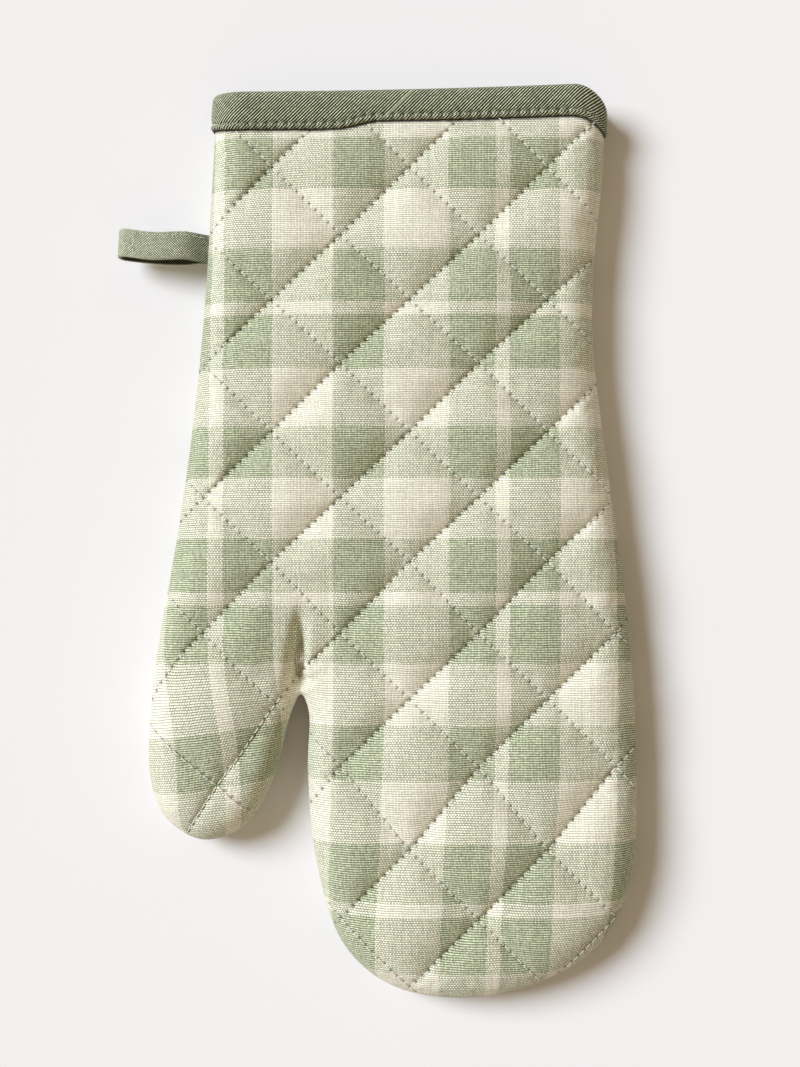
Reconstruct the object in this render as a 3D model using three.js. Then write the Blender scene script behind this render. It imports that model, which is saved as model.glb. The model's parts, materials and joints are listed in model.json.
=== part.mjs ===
// A quilted grill mitt lying flat: a front and a back panel sewn edge to edge round the hand and
// the thumb, a bias binding folded over the open cuff, and a hanging loop caught in the side seam.
// Millimetres. +X points to the little finger's side, +Y to the cuff, +Z up.

import * as THREE from 'three';

// Thicknesses
const FIT_GAP = 0.3; // between pieces that touch
const FOLD_GAP = 0.5; // from the cuff's edge to the binding folded over it
const RIM_WALL = 3.6; // a panel along its seam and inside the binding
const STITCH_WALL = 2.6; // a panel under a line of quilting stitches
const PUFF_WALL = 2.6; // what the batting adds in the middle of a diamond
const BINDING_WALL = 1.2;
const LOOP_WALL = 1.5;

// Heights above the surface that the mitt lies on
const SEAM_HEIGHT = 11;
const FRONT_RISE = 10; // the front panel's stitches, above the seam
const DOME_RISE = 3; // what the palm rises further, away from the seam
const BACK_RISE = 9.35; // the back panel's stitches, below the seam
const FRONT_PUFF = 3; // a diamond's middle over its stitches
const BACK_PUFF = 2.6;

// Distances in from the seam
const EDGE_RADIUS = 12; // where a panel has turned from upright to flat
const PUFF_REACH = 9; // where the diamonds have their full height
const DOME_START = 6; // where the palm starts to rise further
const DOME_REACH = 40; // how much further in it has its full height

// Distances below the cuff's edge
const DOME_CUFF_START = 15;
const DOME_CUFF_REACH = 60;
const PUFF_CUFF_REACH = 6; // from the binding to where the diamonds have their full height

// The sewn seam, from the cuff down the thumb's side, round the thumb, the notch and the
// fingertips, and up the other side
const CUFF_Y = 158.4;
const SEAM_POINTS = [
  { x: -58.5, y: CUFF_Y },
  { x: -60.2, y: 123 },
  { x: -62.5, y: 85 },
  { x: -66, y: 48 },
  { x: -72, y: 4 },
  { x: -78.5, y: -33 },
  { x: -82, y: -62 },
  { x: -82, y: -86 },
  { x: -76.5, y: -100 },
  { x: -63, y: -108 },
  { x: -48, y: -103 },
  { x: -38.5, y: -89 },
  { x: -30.8, y: -62 },
  { x: -27.6, y: -55.8 },
  { x: -25.1, y: -61.5 },
  { x: -25.4, y: -82 },
  { x: -22.5, y: -114 },
  { x: -13, y: -144.5 },
  { x: 3, y: -159.5 },
  { x: 28, y: -165 },
  { x: 58, y: -159.5 },
  { x: 81, y: -144.5 },
  { x: 91.5, y: -121 },
  { x: 93.7, y: -85 },
  { x: 90.8, y: -33 },
  { x: 84, y: 20 },
  { x: 77.9, y: 70 },
  { x: 78, y: 95 },
  { x: 81.4, y: 135 },
  { x: 81.8, y: CUFF_Y },
];

// The cuff's edge: its lean and bow across the mitt, and how far its corners drop at the seams
const CUFF_LEAN = 0.0226;
const CUFF_BOW = 0.000157;
const CUFF_MIDDLE_X = 8;
const CORNER_DROP = { thumbSide: 5, fingerSide: 9 };
const CORNER_FADE = 45; // how far down the side the drop fades out

// The binding is deeper on the thumb's side of its bias join
const BINDING_DEPTH = { thumbSide: 13.9, fingerSide: 12.1 };
const BIAS_JOIN_X = -4;
const BIAS_JOIN_WIDTH = 8;

// Quilting: two families of straight lines that cross at these columns and rows
const QUILT_COLUMN_ZERO = -61.8;
const QUILT_COLUMN_PITCH = 24.5;
const QUILT_ROWS = [132.6, 108.2, 85.2, 62.6, 38.5, 15.1, -7.6, -33.1, -56.4, -80.5, -109.9, -134.7];
const SHALLOW_LINE = 0.3; // share of the puff left under the shallower family of lines

// Below the notch the thumb's cloth swings towards the hand, and the quilting with it
const THUMB_SWING = { pivotX: -11, pivotY: -44, angle: 0.13, fromY: -34, toY: -78 };
const SWING_EDGE = { x: -28, width: 8 };

// The fold that runs from the notch up towards the palm
const NOTCH_FOLD = { fromX: -27.5, fromY: -58, toX: -30.3, toY: -19, depth: 4.5, halfWidth: 4.5 };

// Hanging loop
const LOOP_WIDTH = 11;
const LOOP_REACH = 32.5; // from the seam to the end of the loop
const LOOP_INSIDE = 6.4; // clear height between its two layers
const LOOP_SPREAD = 12; // from the seam to where its layers are fully apart
const LOOP_TUCK = 3; // how far its ends go into the seam
const LOOP_SIDE_GAP = 0.9; // room in the seam beside its ends, which lie at a slant
const LOOP_Y = 103; // middle of its ends
const LOOP_TURN = 0.1; // radians that it points up towards the cuff

// Mesh steps
const FINE_STEPS = 1800; // along the seam, for measuring
const SEAM_STEP = 6;
const SEAM_TURN = 0.3; // radians between two seam points
const EDGE_TURNS = [0, 22, 45, 68]; // degrees that an edge has turned over at each ring
const OUTER = { wall: 0, cells: 6 };
const INNER = { wall: RIM_WALL, cells: 3 };
const CUFF_STEPS = 16;
const LOOP_STEPS = 6;
const QUILT_SPAN = 10; // lines of each family to either side, enough to cover the mitt

const FRONT = 1;
const BACK = -1;

const clamp01 = (value) => Math.min(1, Math.max(0, value));
const smooth = (value) => THREE.MathUtils.smoothstep(value, 0, 1);
const mix = THREE.MathUtils.lerp;

// The seam as a smooth curve, with the direction into the mitt at each point
const seamCurve = new THREE.CatmullRomCurve3(
  SEAM_POINTS.map(({ x, y }) => new THREE.Vector3(x, y, 0)),
  false,
  'centripetal',
);
const fineSeam = seamCurve.getSpacedPoints(FINE_STEPS);

function inwardAt(index) {
  if (index === 0) return { x: 1, y: 0 };
  if (index === fineSeam.length - 1) return { x: -1, y: 0 };
  const along = fineSeam[index + 1].clone().sub(fineSeam[index - 1]).normalize();
  return { x: -along.y, y: along.x };
}

// Half the width of the mouth that the seam leaves for the loop's two ends
const POCKET_HALF_HEIGHT = FIT_GAP / 2 + LOOP_WALL + FIT_GAP;
const POCKET_HALF_WIDTH = LOOP_WIDTH / 2 + LOOP_SIDE_GAP;
const POCKET_RAMP = 1.2;
const THUMB_SIDE_STOPS = [
  CUFF_Y - BINDING_DEPTH.thumbSide,
  LOOP_Y + POCKET_HALF_WIDTH + POCKET_RAMP,
  LOOP_Y + POCKET_HALF_WIDTH,
  LOOP_Y - POCKET_HALF_WIDTH,
  LOOP_Y - POCKET_HALF_WIDTH - POCKET_RAMP,
];
const FINGER_SIDE_STOPS = [CUFF_Y - BINDING_DEPTH.fingerSide];

function seamHalfGap({ x, y }) {
  const outside = (Math.abs(y - LOOP_Y) - POCKET_HALF_WIDTH) / POCKET_RAMP;
  const share = x < 0 ? 1 - clamp01(outside) : 0;
  return mix(FIT_GAP / 2, POCKET_HALF_HEIGHT, share);
}

// Seam points spaced by length and by turn, with one at each stop: the binding's edge and the
// corners of the loop's pocket
function spacedSeam() {
  const kept = [];
  let run = 0;
  let turn = 0;
  fineSeam.forEach((point, i) => {
    const last = i === fineSeam.length - 1;
    if (i > 0 && !last) {
      const before = point.clone().sub(fineSeam[i - 1]);
      const after = fineSeam[i + 1].clone().sub(point);
      run += before.length();
      turn += before.angleTo(after);
    }
    const next = fineSeam[Math.min(i + 1, fineSeam.length - 1)];
    const stops = point.x < 0 ? THUMB_SIDE_STOPS : FINGER_SIDE_STOPS;
    const stop = stops.find((y) => Math.min(point.y, next.y) < y && Math.max(point.y, next.y) >= y);
    if (i === 0 || last || run >= SEAM_STEP || turn >= SEAM_TURN || stop) {
      kept.push({ x: point.x, y: stop ?? point.y, inward: inwardAt(i) });
      run = 0;
      turn = 0;
    }
  });
  return kept;
}

const seam = spacedSeam();

function seamDistance(x, y) {
  let nearest = Infinity;
  for (const point of fineSeam) {
    nearest = Math.min(nearest, (point.x - x) ** 2 + (point.y - y) ** 2);
  }
  return Math.sqrt(nearest);
}

function seamX(side, y) {
  const height = Math.min(y, CUFF_Y);
  const half = side === 'thumbSide' ? fineSeam : [...fineSeam].reverse();
  const index = half.findIndex((point) => point.y <= height);
  return half[index].x;
}

// How far a face has turned from upright at the seam, 0, to flat, 1
function turnedShare(distance, wall) {
  return clamp01((distance - wall) / (EDGE_RADIUS - wall));
}

// The cuff's shape: a straight cuff at CUFF_Y leans, bows and drops at its corners
function cuffShift(x, y, turned) {
  const across = x - CUFF_MIDDLE_X;
  const drop = across < 0 ? CORNER_DROP.thumbSide : CORNER_DROP.fingerSide;
  const line = CUFF_LEAN * across + CUFF_BOW * across ** 2;
  return (line - drop * (1 - turned) ** 2) * smooth(1 - (CUFF_Y - y) / CORNER_FADE);
}

// Distance below the cuff's edge
function belowCuff(x, y, turned) {
  return CUFF_Y - y + cuffShift(x, y, turned);
}

function bindingDepth(x) {
  const share = smooth((x - BIAS_JOIN_X) / BIAS_JOIN_WIDTH + 0.5);
  return mix(BINDING_DEPTH.thumbSide, BINDING_DEPTH.fingerSide, share);
}

// Height of a row of crossings, and the row at a height, with parts of a row between them
function rowY(row) {
  const first = THREE.MathUtils.clamp(Math.floor(row), 0, QUILT_ROWS.length - 2);
  return mix(QUILT_ROWS[first], QUILT_ROWS[first + 1], row - first);
}

function rowAt(y) {
  const below = QUILT_ROWS.findIndex((height) => height < y);
  const end = below < 0 ? QUILT_ROWS.length - 1 : Math.max(1, below);
  const top = QUILT_ROWS[end - 1];
  return end - 1 + (top - y) / (top - QUILT_ROWS[end]);
}

// How far the thumb's swing has moved the cloth at a point
function thumbSwing(x, y) {
  const { pivotX, pivotY, angle, fromY, toY } = THUMB_SWING;
  const inThumb = 1 - smooth((x - SWING_EDGE.x) / SWING_EDGE.width + 0.5);
  const swung = angle * inThumb * smooth((fromY - y) / (fromY - toY));
  return { x: -swung * (y - pivotY), y: swung * (x - pivotX) };
}

const columnX = (column) => QUILT_COLUMN_ZERO + QUILT_COLUMN_PITCH * column;

// 0 on each line of a family of stitch lines, 1 halfway between two
const swell = (share) => Math.sqrt(Math.abs(Math.sin(Math.PI * share)));

// 0 on the plain strip under the binding, 1 where the quilting is clear of it
function pastBinding(x, y, turned) {
  return smooth((belowCuff(x, y, turned) - bindingDepth(x)) / PUFF_CUFF_REACH);
}

// Share of its full height that a diamond has at a point
function puff(x, y, distance, turned) {
  const swung = thumbSwing(x, y);
  const column = (x - swung.x - QUILT_COLUMN_ZERO) / QUILT_COLUMN_PITCH;
  const row = rowAt(y - swung.y);
  const rising = swell((column + row - 1) / 2);
  const falling = mix(SHALLOW_LINE, 1, swell((column - row - 1) / 2));
  const fromSeam = smooth(distance / PUFF_REACH) * smooth(turned * 2);
  return rising * falling * fromSeam * pastBinding(x, y, turned);
}

function dome(x, y, distance) {
  const awayFromCuff = smooth((CUFF_Y - y - DOME_CUFF_START) / DOME_CUFF_REACH);
  return DOME_RISE * smooth((distance - DOME_START) / DOME_REACH) * awayFromCuff;
}

function notchFold(x, y, turned) {
  const { fromX, fromY, toX, toY, depth, halfWidth } = NOTCH_FOLD;
  const along = (y - fromY) / (toY - fromY);
  const aside = (x - mix(fromX, toX, along)) / halfWidth;
  if (along < 0 || along > 1) return 0;
  return depth * Math.exp(-(aside ** 2)) * (1 - along) * smooth(turned);
}

// Height of a panel's outer or inner face over the seam, at a distance in from the seam
function panelHeight(side, wall, x, y, distance) {
  const flatRise = side === FRONT ? FRONT_RISE : BACK_RISE;
  const turned = turnedShare(distance, wall);
  const edge = (flatRise - wall) * Math.sqrt(1 - (1 - turned) ** 2);
  const puffed = puff(x, y, distance, turned);
  const thicker = STITCH_WALL + PUFF_WALL * puffed - RIM_WALL;
  const thinning = wall > 0 ? thicker * pastBinding(x, y, turned) * smooth(turned) : 0;
  const lift = side === FRONT ? dome(x, y, distance) - notchFold(x, y, turned) : 0;
  const crown = side === FRONT ? FRONT_PUFF : BACK_PUFF;
  return edge + lift + crown * puffed - thinning;
}

function panelPoint(side, wall, x, y, distance, halfGap) {
  const z = SEAM_HEIGHT + side * (halfGap + panelHeight(side, wall, x, y, distance));
  return new THREE.Vector3(x, y, Math.max(0, z));
}

// Rings of points in from the seam: an upright edge that turns over towards the middle
function seamRings({ wall }) {
  return EDGE_TURNS.map((degrees) => {
    const turn = THREE.MathUtils.degToRad(degrees);
    const turned = 1 - Math.cos(turn);
    const distance = wall + (EDGE_RADIUS - wall) * turned;
    return seam.map((point) => {
      const x = point.x + point.inward.x * distance;
      const straightY = point.y + point.inward.y * distance;
      const y = straightY + cuffShift(x, straightY, turned);
      const halfGap = mix(seamHalfGap(point), FIT_GAP / 2, Math.sin(turn));
      return { x, y, distance, halfGap };
    });
  });
}

// A row of points across the cuff's flat part, from the finger side to the thumb's side
function cuffRow(below) {
  const right = fineSeam.at(-1).x - EDGE_RADIUS;
  const left = fineSeam[0].x + EDGE_RADIUS;
  return Array.from({ length: CUFF_STEPS + 1 }, (_, step) => {
    const x = mix(right, left, step / CUFF_STEPS);
    const y = CUFF_Y - below(x);
    return { x, y: y + cuffShift(x, y, 1), distance: seamDistance(x, y), halfGap: FIT_GAP / 2 };
  });
}

function isInside(polygon, { x, y }) {
  let inside = false;
  polygon.forEach((end, i) => {
    const start = polygon.at(i - 1);
    if (start.y > y !== end.y > y) {
      const crossing = mix(start.x, end.x, (y - start.y) / (end.y - start.y));
      if (x < crossing) inside = !inside;
    }
  });
  return inside;
}

function clearance(polygon, { x, y }) {
  return Math.min(...polygon.map((point) => Math.hypot(point.x - x, point.y - y)));
}

// Points along the quilting lines and between them, so that every line is an edge of the mesh
function quiltPoints(polygon, cells) {
  const step = (QUILT_COLUMN_PITCH * Math.SQRT2) / cells;
  const reach = QUILT_SPAN * cells;
  const found = [];
  for (let i = -reach; i <= reach; i += 1) {
    for (let j = -reach; j <= reach; j += 1) {
      const [rising, falling] = [i / cells, j / cells];
      const straight = { x: columnX(rising + falling + 1), y: rowY(rising - falling) };
      const swung = thumbSwing(straight.x, straight.y);
      const point = { x: straight.x + swung.x, y: straight.y + swung.y };
      const hidden = belowCuff(point.x, point.y, 1) < bindingDepth(point.x) + step / 3;
      if (!hidden && isInside(polygon, point) && clearance(polygon, point) > step * 0.55) {
        const distance = seamDistance(point.x, point.y);
        found.push({ ...point, distance, halfGap: FIT_GAP / 2 });
      }
    }
  }
  return found;
}

// Delaunay triangles of points in the plane, each counterclockwise
function triangulate(points) {
  const far = 5000;
  const all = [...points, { x: -far, y: -far }, { x: far, y: -far }, { x: 0, y: far }];
  const circled = (a, b, c) => {
    const [p, q, r] = [all[a], all[b], all[c]];
    const [qx, qy, rx, ry] = [q.x - p.x, q.y - p.y, r.x - p.x, r.y - p.y];
    const [q2, r2, twice] = [qx ** 2 + qy ** 2, rx ** 2 + ry ** 2, 2 * (qx * ry - qy * rx)];
    const [cx, cy] = [(ry * q2 - qy * r2) / twice, (qx * r2 - rx * q2) / twice];
    return { corners: [a, b, c], x: p.x + cx, y: p.y + cy, reach: cx ** 2 + cy ** 2 };
  };
  let triangles = [circled(points.length, points.length + 1, points.length + 2)];
  points.forEach((point, index) => {
    const border = new Map();
    triangles = triangles.filter(({ corners, x, y, reach }) => {
      if ((point.x - x) ** 2 + (point.y - y) ** 2 >= reach * (1 - 1e-9)) return true;
      corners.forEach((start, i) => {
        const end = corners[(i + 1) % 3];
        if (!border.delete(`${end} ${start}`)) border.set(`${start} ${end}`, [start, end]);
      });
      return false;
    });
    for (const [start, end] of border.values()) triangles.push(circled(start, end, index));
  });
  return triangles.map(({ corners }) => corners).filter((ids) => Math.max(...ids) < points.length);
}

// One face of a panel: rings along the seam, then the quilted middle, with its border's points
function panelFace(side, layer) {
  const rings = seamRings(layer);
  const edge = cuffRow(() => 0);
  const count = seam.length;
  const polygon = [...rings.at(-1), ...edge];
  const hiddenRows = [...cuffRow((x) => bindingDepth(x) / 2), ...cuffRow(bindingDepth)];
  const inner = [...hiddenRows, ...quiltPoints(polygon, layer.cells)];
  const plan = [...rings.flat(), ...edge, ...inner];
  const faces = [];
  for (let ring = 0; ring + 1 < rings.length; ring += 1) {
    for (let i = 0; i + 1 < count; i += 1) {
      const [a, b] = [ring * count + i, ring * count + i + 1];
      faces.push([a, b, b + count], [a, b + count, a + count]);
    }
  }
  const start = (rings.length - 1) * count;
  for (const [a, b, c] of triangulate([...polygon, ...inner])) {
    const middle = { x: 0, y: 0 };
    for (const id of [a, b, c]) {
      middle.x += plan[start + id].x / 3;
      middle.y += plan[start + id].y / 3;
    }
    if (isInside(polygon, middle)) faces.push([start + a, start + b, start + c]);
  }
  const leftEnds = rings.map((_, ring) => ring * count);
  const rightEnds = rings.map((_, ring) => ring * count + count - 1);
  const cuffIds = edge.map((_, i) => start + count + i);
  const border = [
    ...seam.map((_, i) => i),
    ...rightEnds.slice(1),
    ...cuffIds,
    ...leftEnds.slice(1).reverse(),
  ];
  const points = plan.map(({ x, y, distance, halfGap }) =>
    panelPoint(side, layer.wall, x, y, distance, halfGap));
  return { points, faces, border };
}

function closedGeometry(points, faces) {
  const geometry = new THREE.BufferGeometry().setFromPoints(points);
  geometry.setIndex(faces.flat());
  geometry.computeVertexNormals();
  return geometry;
}

// A strip of faces between two borders with as many points
function joinBorders(outer, inner) {
  return outer.flatMap((start, i) => {
    const next = (i + 1) % outer.length;
    return [[outer[next], start, inner[i]], [outer[next], inner[i], inner[next]]];
  });
}

function panelGeometry(side) {
  const outer = panelFace(side, OUTER);
  const inner = panelFace(side, INNER);
  const shift = outer.points.length;
  const faces = [
    ...outer.faces,
    ...inner.faces.map(([a, b, c]) => [a + shift, c + shift, b + shift]),
    ...joinBorders(outer.border, inner.border.map((id) => id + shift)),
  ];
  const turned = side === FRONT ? faces : faces.map(([a, b, c]) => [a, c, b]);
  return closedGeometry([...outer.points, ...inner.points], turned);
}

// Stations round the cuff: over the front from the thumb's side, and back under the back panel
function cuffStations() {
  const turns = [...EDGE_TURNS.slice(1), 90];
  const across = (side) => [
    ...turns.map((degrees) => ({ side, edge: 'thumbSide', degrees })),
    ...Array.from({ length: CUFF_STEPS - 1 }, (_, i) => ({ side, share: (i + 1) / CUFF_STEPS })),
    ...turns.map((degrees) => ({ side, edge: 'fingerSide', degrees })).reverse(),
  ];
  return [
    { side: 0, edge: 'thumbSide', degrees: 0 },
    ...across(FRONT),
    { side: 0, edge: 'fingerSide', degrees: 0 },
    ...across(BACK).reverse(),
  ];
}

// A point on the cuff, at a depth inside the panels' outer face and a distance below their edge
function cuffPoint({ side, edge, degrees, share }, depth, below) {
  const y = CUFF_Y - below;
  const [left, right] = [seamX('thumbSide', y), seamX('fingerSide', y)];
  const rise = side === FRONT ? FRONT_RISE : BACK_RISE;
  const turn = THREE.MathUtils.degToRad(edge ? degrees : 90);
  const inset = EDGE_RADIUS - (EDGE_RADIUS - depth) * Math.cos(turn);
  let x = mix(left + EDGE_RADIUS, right - EDGE_RADIUS, share ?? 0);
  if (edge === 'thumbSide') x = left + inset;
  if (edge === 'fingerSide') x = right - inset;
  const z = SEAM_HEIGHT + side * (FIT_GAP / 2 + (rise - depth) * Math.sin(turn));
  return new THREE.Vector3(x, y + cuffShift(x, y, 1 - Math.cos(turn)), z);
}

// The binding: one strip folded over the panels' edges, closed into a ring
function bindingGeometry() {
  const outside = -FIT_GAP - BINDING_WALL;
  const inside = RIM_WALL + FIT_GAP + BINDING_WALL;
  const top = -FOLD_GAP - BINDING_WALL;
  const fold = BINDING_WALL * 0.7;
  const section = (depth) => [
    { at: outside, below: depth },
    { at: outside, below: depth / 2 },
    { at: outside, below: top + fold },
    { at: outside + fold, below: top },
    { at: inside - fold, below: top },
    { at: inside, below: top + fold },
    { at: inside, below: depth / 2 },
    { at: inside, below: depth },
    { at: inside - BINDING_WALL, below: depth },
    { at: inside - BINDING_WALL, below: depth / 2 },
    { at: inside - BINDING_WALL, below: -FOLD_GAP },
    { at: outside + BINDING_WALL, below: -FOLD_GAP },
    { at: outside + BINDING_WALL, below: depth / 2 },
    { at: outside + BINDING_WALL, below: depth },
  ];
  const stations = cuffStations();
  const points = stations.flatMap((station) => {
    const { x } = cuffPoint(station, 0, 0);
    const depth = bindingDepth(x) + top;
    return section(depth).map(({ at, below }) => cuffPoint(station, at, below));
  });
  const corners = section(0).length;
  const faces = [];
  stations.forEach((_, i) => {
    const [here, next] = [i * corners, ((i + 1) % stations.length) * corners];
    for (let k = 0; k < corners; k += 1) {
      const after = (k + 1) % corners;
      faces.push([here + k, next + k, next + after], [here + k, next + after, here + after]);
    }
  });
  return closedGeometry(points, faces);
}

// The loop: a flat strip that leaves the seam, opens out, turns at its end and comes back
function loopGeometry() {
  const closedHeight = (FIT_GAP + LOOP_WALL) / 2;
  const openHeight = (LOOP_INSIDE + LOOP_WALL) / 2;
  const turnStart = LOOP_REACH - LOOP_WALL / 2 - openHeight;
  const upperLine = [new THREE.Vector2(-LOOP_TUCK, closedHeight)];
  for (let step = 0; step <= LOOP_STEPS; step += 1) {
    const share = step / LOOP_STEPS;
    const height = mix(closedHeight, openHeight, smooth(share));
    upperLine.push(new THREE.Vector2(LOOP_SPREAD * share, height));
  }
  for (let step = 0; step <= LOOP_STEPS; step += 1) {
    const turn = (step / LOOP_STEPS) * (Math.PI / 2);
    const out = turnStart + openHeight * Math.sin(turn);
    upperLine.push(new THREE.Vector2(out, openHeight * Math.cos(turn)));
  }
  const underLine = upperLine.slice(0, -1).reverse().map(({ x, y }) => new THREE.Vector2(x, -y));
  const line = [...upperLine, ...underLine];
  const offset = (aside) => line.map((point, i) => {
    const along = line[Math.min(i + 1, line.length - 1)].clone().sub(line[Math.max(i - 1, 0)]);
    const across = new THREE.Vector2(-along.y, along.x).normalize();
    return point.clone().addScaledVector(across, aside);
  });
  const outline = [...offset(LOOP_WALL / 2), ...offset(-LOOP_WALL / 2).reverse()];
  const geometry = new THREE.ExtrudeGeometry(new THREE.Shape(outline), {
    depth: LOOP_WIDTH,
    steps: 2,
    bevelEnabled: false,
  });
  geometry.translate(0, 0, -LOOP_WIDTH / 2);
  geometry.rotateX(Math.PI / 2);
  return geometry;
}

function cloth(colour) {
  return new THREE.MeshStandardMaterial({ color: colour, roughness: 0.92, metalness: 0 });
}

function piece(name, geometry, material) {
  const mesh = new THREE.Mesh(geometry, material);
  mesh.name = name;
  return mesh;
}

const mitt = new THREE.Group();
mitt.add(piece('front_panel', panelGeometry(FRONT), cloth('#a9b598')));
mitt.add(piece('back_panel', panelGeometry(BACK), cloth('#a9b598')));
mitt.add(piece('cuff_binding', bindingGeometry(), cloth('#5f7257')));

const loop = piece('hanging_loop', loopGeometry(), cloth('#5f7257'));
loop.position.set(seamX('thumbSide', LOOP_Y), LOOP_Y, SEAM_HEIGHT);
loop.rotation.z = Math.PI - LOOP_TURN;
mitt.add(loop);

// The origin is the middle of the bottom of the whole mitt
const box = new THREE.Box3().setFromObject(mitt);
const middle = box.getCenter(new THREE.Vector3());
mitt.position.set(-middle.x, -middle.y, -box.min.z);

export default mitt;
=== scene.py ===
# %% [markdown]
# # A quilted grill mitt, lying flat
#
# The real mitt is two quilted panels sewn together round the hand and the thumb, a strip of
# green cloth folded over the open cuff, and a small hanging loop caught in the side seam.
# The packed CAD model already holds all four at their true size. This notebook dresses it:
# it makes each piece again as soft cloth in the same place, and gives it a woven finish.
#
# Lengths below are in millimetres, as a maker would say them, and become metres when a mesh
# is made, because the frame is in metres.

# %% Load the packed frame
import json
import math

import bmesh
import bpy
import numpy as np
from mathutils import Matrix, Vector, geometry, kdtree
from mathutils.bvhtree import BVHTree

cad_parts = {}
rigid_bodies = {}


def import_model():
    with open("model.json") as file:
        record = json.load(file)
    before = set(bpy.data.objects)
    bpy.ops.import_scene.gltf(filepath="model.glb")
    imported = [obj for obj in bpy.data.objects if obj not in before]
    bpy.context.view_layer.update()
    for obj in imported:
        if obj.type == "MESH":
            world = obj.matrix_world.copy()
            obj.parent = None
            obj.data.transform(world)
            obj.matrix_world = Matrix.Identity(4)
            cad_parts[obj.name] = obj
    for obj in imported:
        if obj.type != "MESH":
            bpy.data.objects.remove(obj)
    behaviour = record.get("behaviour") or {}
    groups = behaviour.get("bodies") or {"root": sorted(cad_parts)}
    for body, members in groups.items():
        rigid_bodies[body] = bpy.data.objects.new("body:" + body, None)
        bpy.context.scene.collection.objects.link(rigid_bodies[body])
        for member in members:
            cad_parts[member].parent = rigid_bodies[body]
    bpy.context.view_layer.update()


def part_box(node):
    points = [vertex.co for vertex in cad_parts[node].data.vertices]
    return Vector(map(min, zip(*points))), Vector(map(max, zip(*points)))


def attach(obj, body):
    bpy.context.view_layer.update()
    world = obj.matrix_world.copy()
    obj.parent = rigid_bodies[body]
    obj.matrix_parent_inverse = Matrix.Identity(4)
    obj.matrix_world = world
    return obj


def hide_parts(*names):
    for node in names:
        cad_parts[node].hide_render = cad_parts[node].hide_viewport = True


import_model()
MM = 0.001

# %% [markdown]
# ## The camera
#
# The mitt is seen from straight above, a little over half a metre away. A real lens that near
# makes what stands higher look larger, so the distance matters as much as the framing. The
# picture is 800 by 1067 pixels, and Blender fits its 36 mm sensor to the longer side.

# %% Camera straight above
CAMERA_PLACE = (8.38, 3.97, 661.0)
FOCAL_PIXELS = 1798.6
PICTURE_HEIGHT = 1067
SENSOR = 36.0

camera_data = bpy.data.cameras.new("camera")
camera_data.sensor_width = SENSOR
camera_data.lens = FOCAL_PIXELS / PICTURE_HEIGHT * SENSOR
camera = bpy.data.objects.new("camera", camera_data)
camera.location = Vector(CAMERA_PLACE) * MM
bpy.context.scene.collection.objects.link(camera)
bpy.context.scene.camera = camera
print("lens in mm:", round(camera_data.lens, 2))

# %% [markdown]
# ## Adding a node
#
# The room's light, every finish and everything that repeats are made of nodes, so one function
# adds a node for all of them. Its settings come first, because some nodes change their sockets
# with them. Then each socket gets a link or a plain value. It is named, or numbered where two
# sockets share one name.

# %% One way to add a node
def set_stops(ramp, stops):
    """Steps between shades of grey, at the given positions."""
    ramp.interpolation = "CONSTANT"
    while len(ramp.elements) < len(stops):
        ramp.elements.new(1)
    for element, (position, shade) in zip(ramp.elements, stops):
        element.position = position
        element.color = (shade, shade, shade, 1)


def add_node(tree, kind, sockets=None, settings=None):
    """Adds a node with its settings, and with links or values in its sockets."""
    made = tree.nodes.new(kind)
    for name, value in (settings or {}).items():
        if name == "stops":
            set_stops(made.color_ramp, value)
        else:
            setattr(made, name, value)
    for name, value in (sockets or {}).items():
        if isinstance(value, bpy.types.NodeSocket):
            tree.links.new(value, made.inputs[name])
        else:
            made.inputs[name].default_value = value
    return made


print("nodes are made by Blender", bpy.app.version_string)

# %% [markdown]
# ## Floor and light
#
# A pale table top and one broad soft light from the left, half way up the sky.
# The sun lamp's angle is its size as seen from the mitt: wider makes softer edges to the
# shadow. The world adds the light that the room throws back, which is warmer than the lamp,
# so the shadows come out warm although the lit table stays white. Only what looks straight
# past the table sees a pale wall instead, so that a low view has a quiet background.

# %% Table top
FLOOR_COLOUR = (0.868, 0.846, 0.84, 1)
FLOOR_REACH = 3.0  # metres from the middle to each edge
FLOOR_ROUGHNESS, FLOOR_GLOSS = 0.9, 0.1

bpy.context.scene.view_settings.view_transform = "Standard"

floor_mesh = bpy.data.meshes.new("floor")
signs = [(-1, -1), (1, -1), (1, 1), (-1, 1)]
corners = [(x * FLOOR_REACH, y * FLOOR_REACH, 0) for x, y in signs]
floor_mesh.from_pydata(corners, [], [(0, 1, 2, 3)])
floor = bpy.data.objects.new("floor", floor_mesh)
bpy.context.scene.collection.objects.link(floor)
floor_finish = bpy.data.materials.new("pale table")
floor_finish.use_nodes = True
floor_shader = floor_finish.node_tree.nodes["Principled BSDF"]
floor_shader.inputs["Base Color"].default_value = FLOOR_COLOUR
floor_shader.inputs["Roughness"].default_value = FLOOR_ROUGHNESS
floor_shader.inputs["Specular IOR Level"].default_value = FLOOR_GLOSS
floor_mesh.materials.append(floor_finish)
print("table top is", 2 * FLOOR_REACH, "m wide")

# %% Lamp
KEY_FROM = (-0.93, 0.43, 0.97)  # towards the lamp
KEY_STRENGTH = 3.86
KEY_ANGLE = 27.0
KEY_COLOUR = (0.82, 0.89, 1.0)

key_data = bpy.data.lights.new("key", "SUN")
key_data.energy = KEY_STRENGTH
key_data.angle = math.radians(KEY_ANGLE)
key_data.color = KEY_COLOUR
key = bpy.data.objects.new("key", key_data)
key.rotation_euler = Vector(KEY_FROM).to_track_quat("Z", "Y").to_euler()
bpy.context.scene.collection.objects.link(key)
elevation = math.degrees(math.asin(Vector(KEY_FROM).normalized().z))
print("key light stands", round(elevation), "degrees up")

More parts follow.
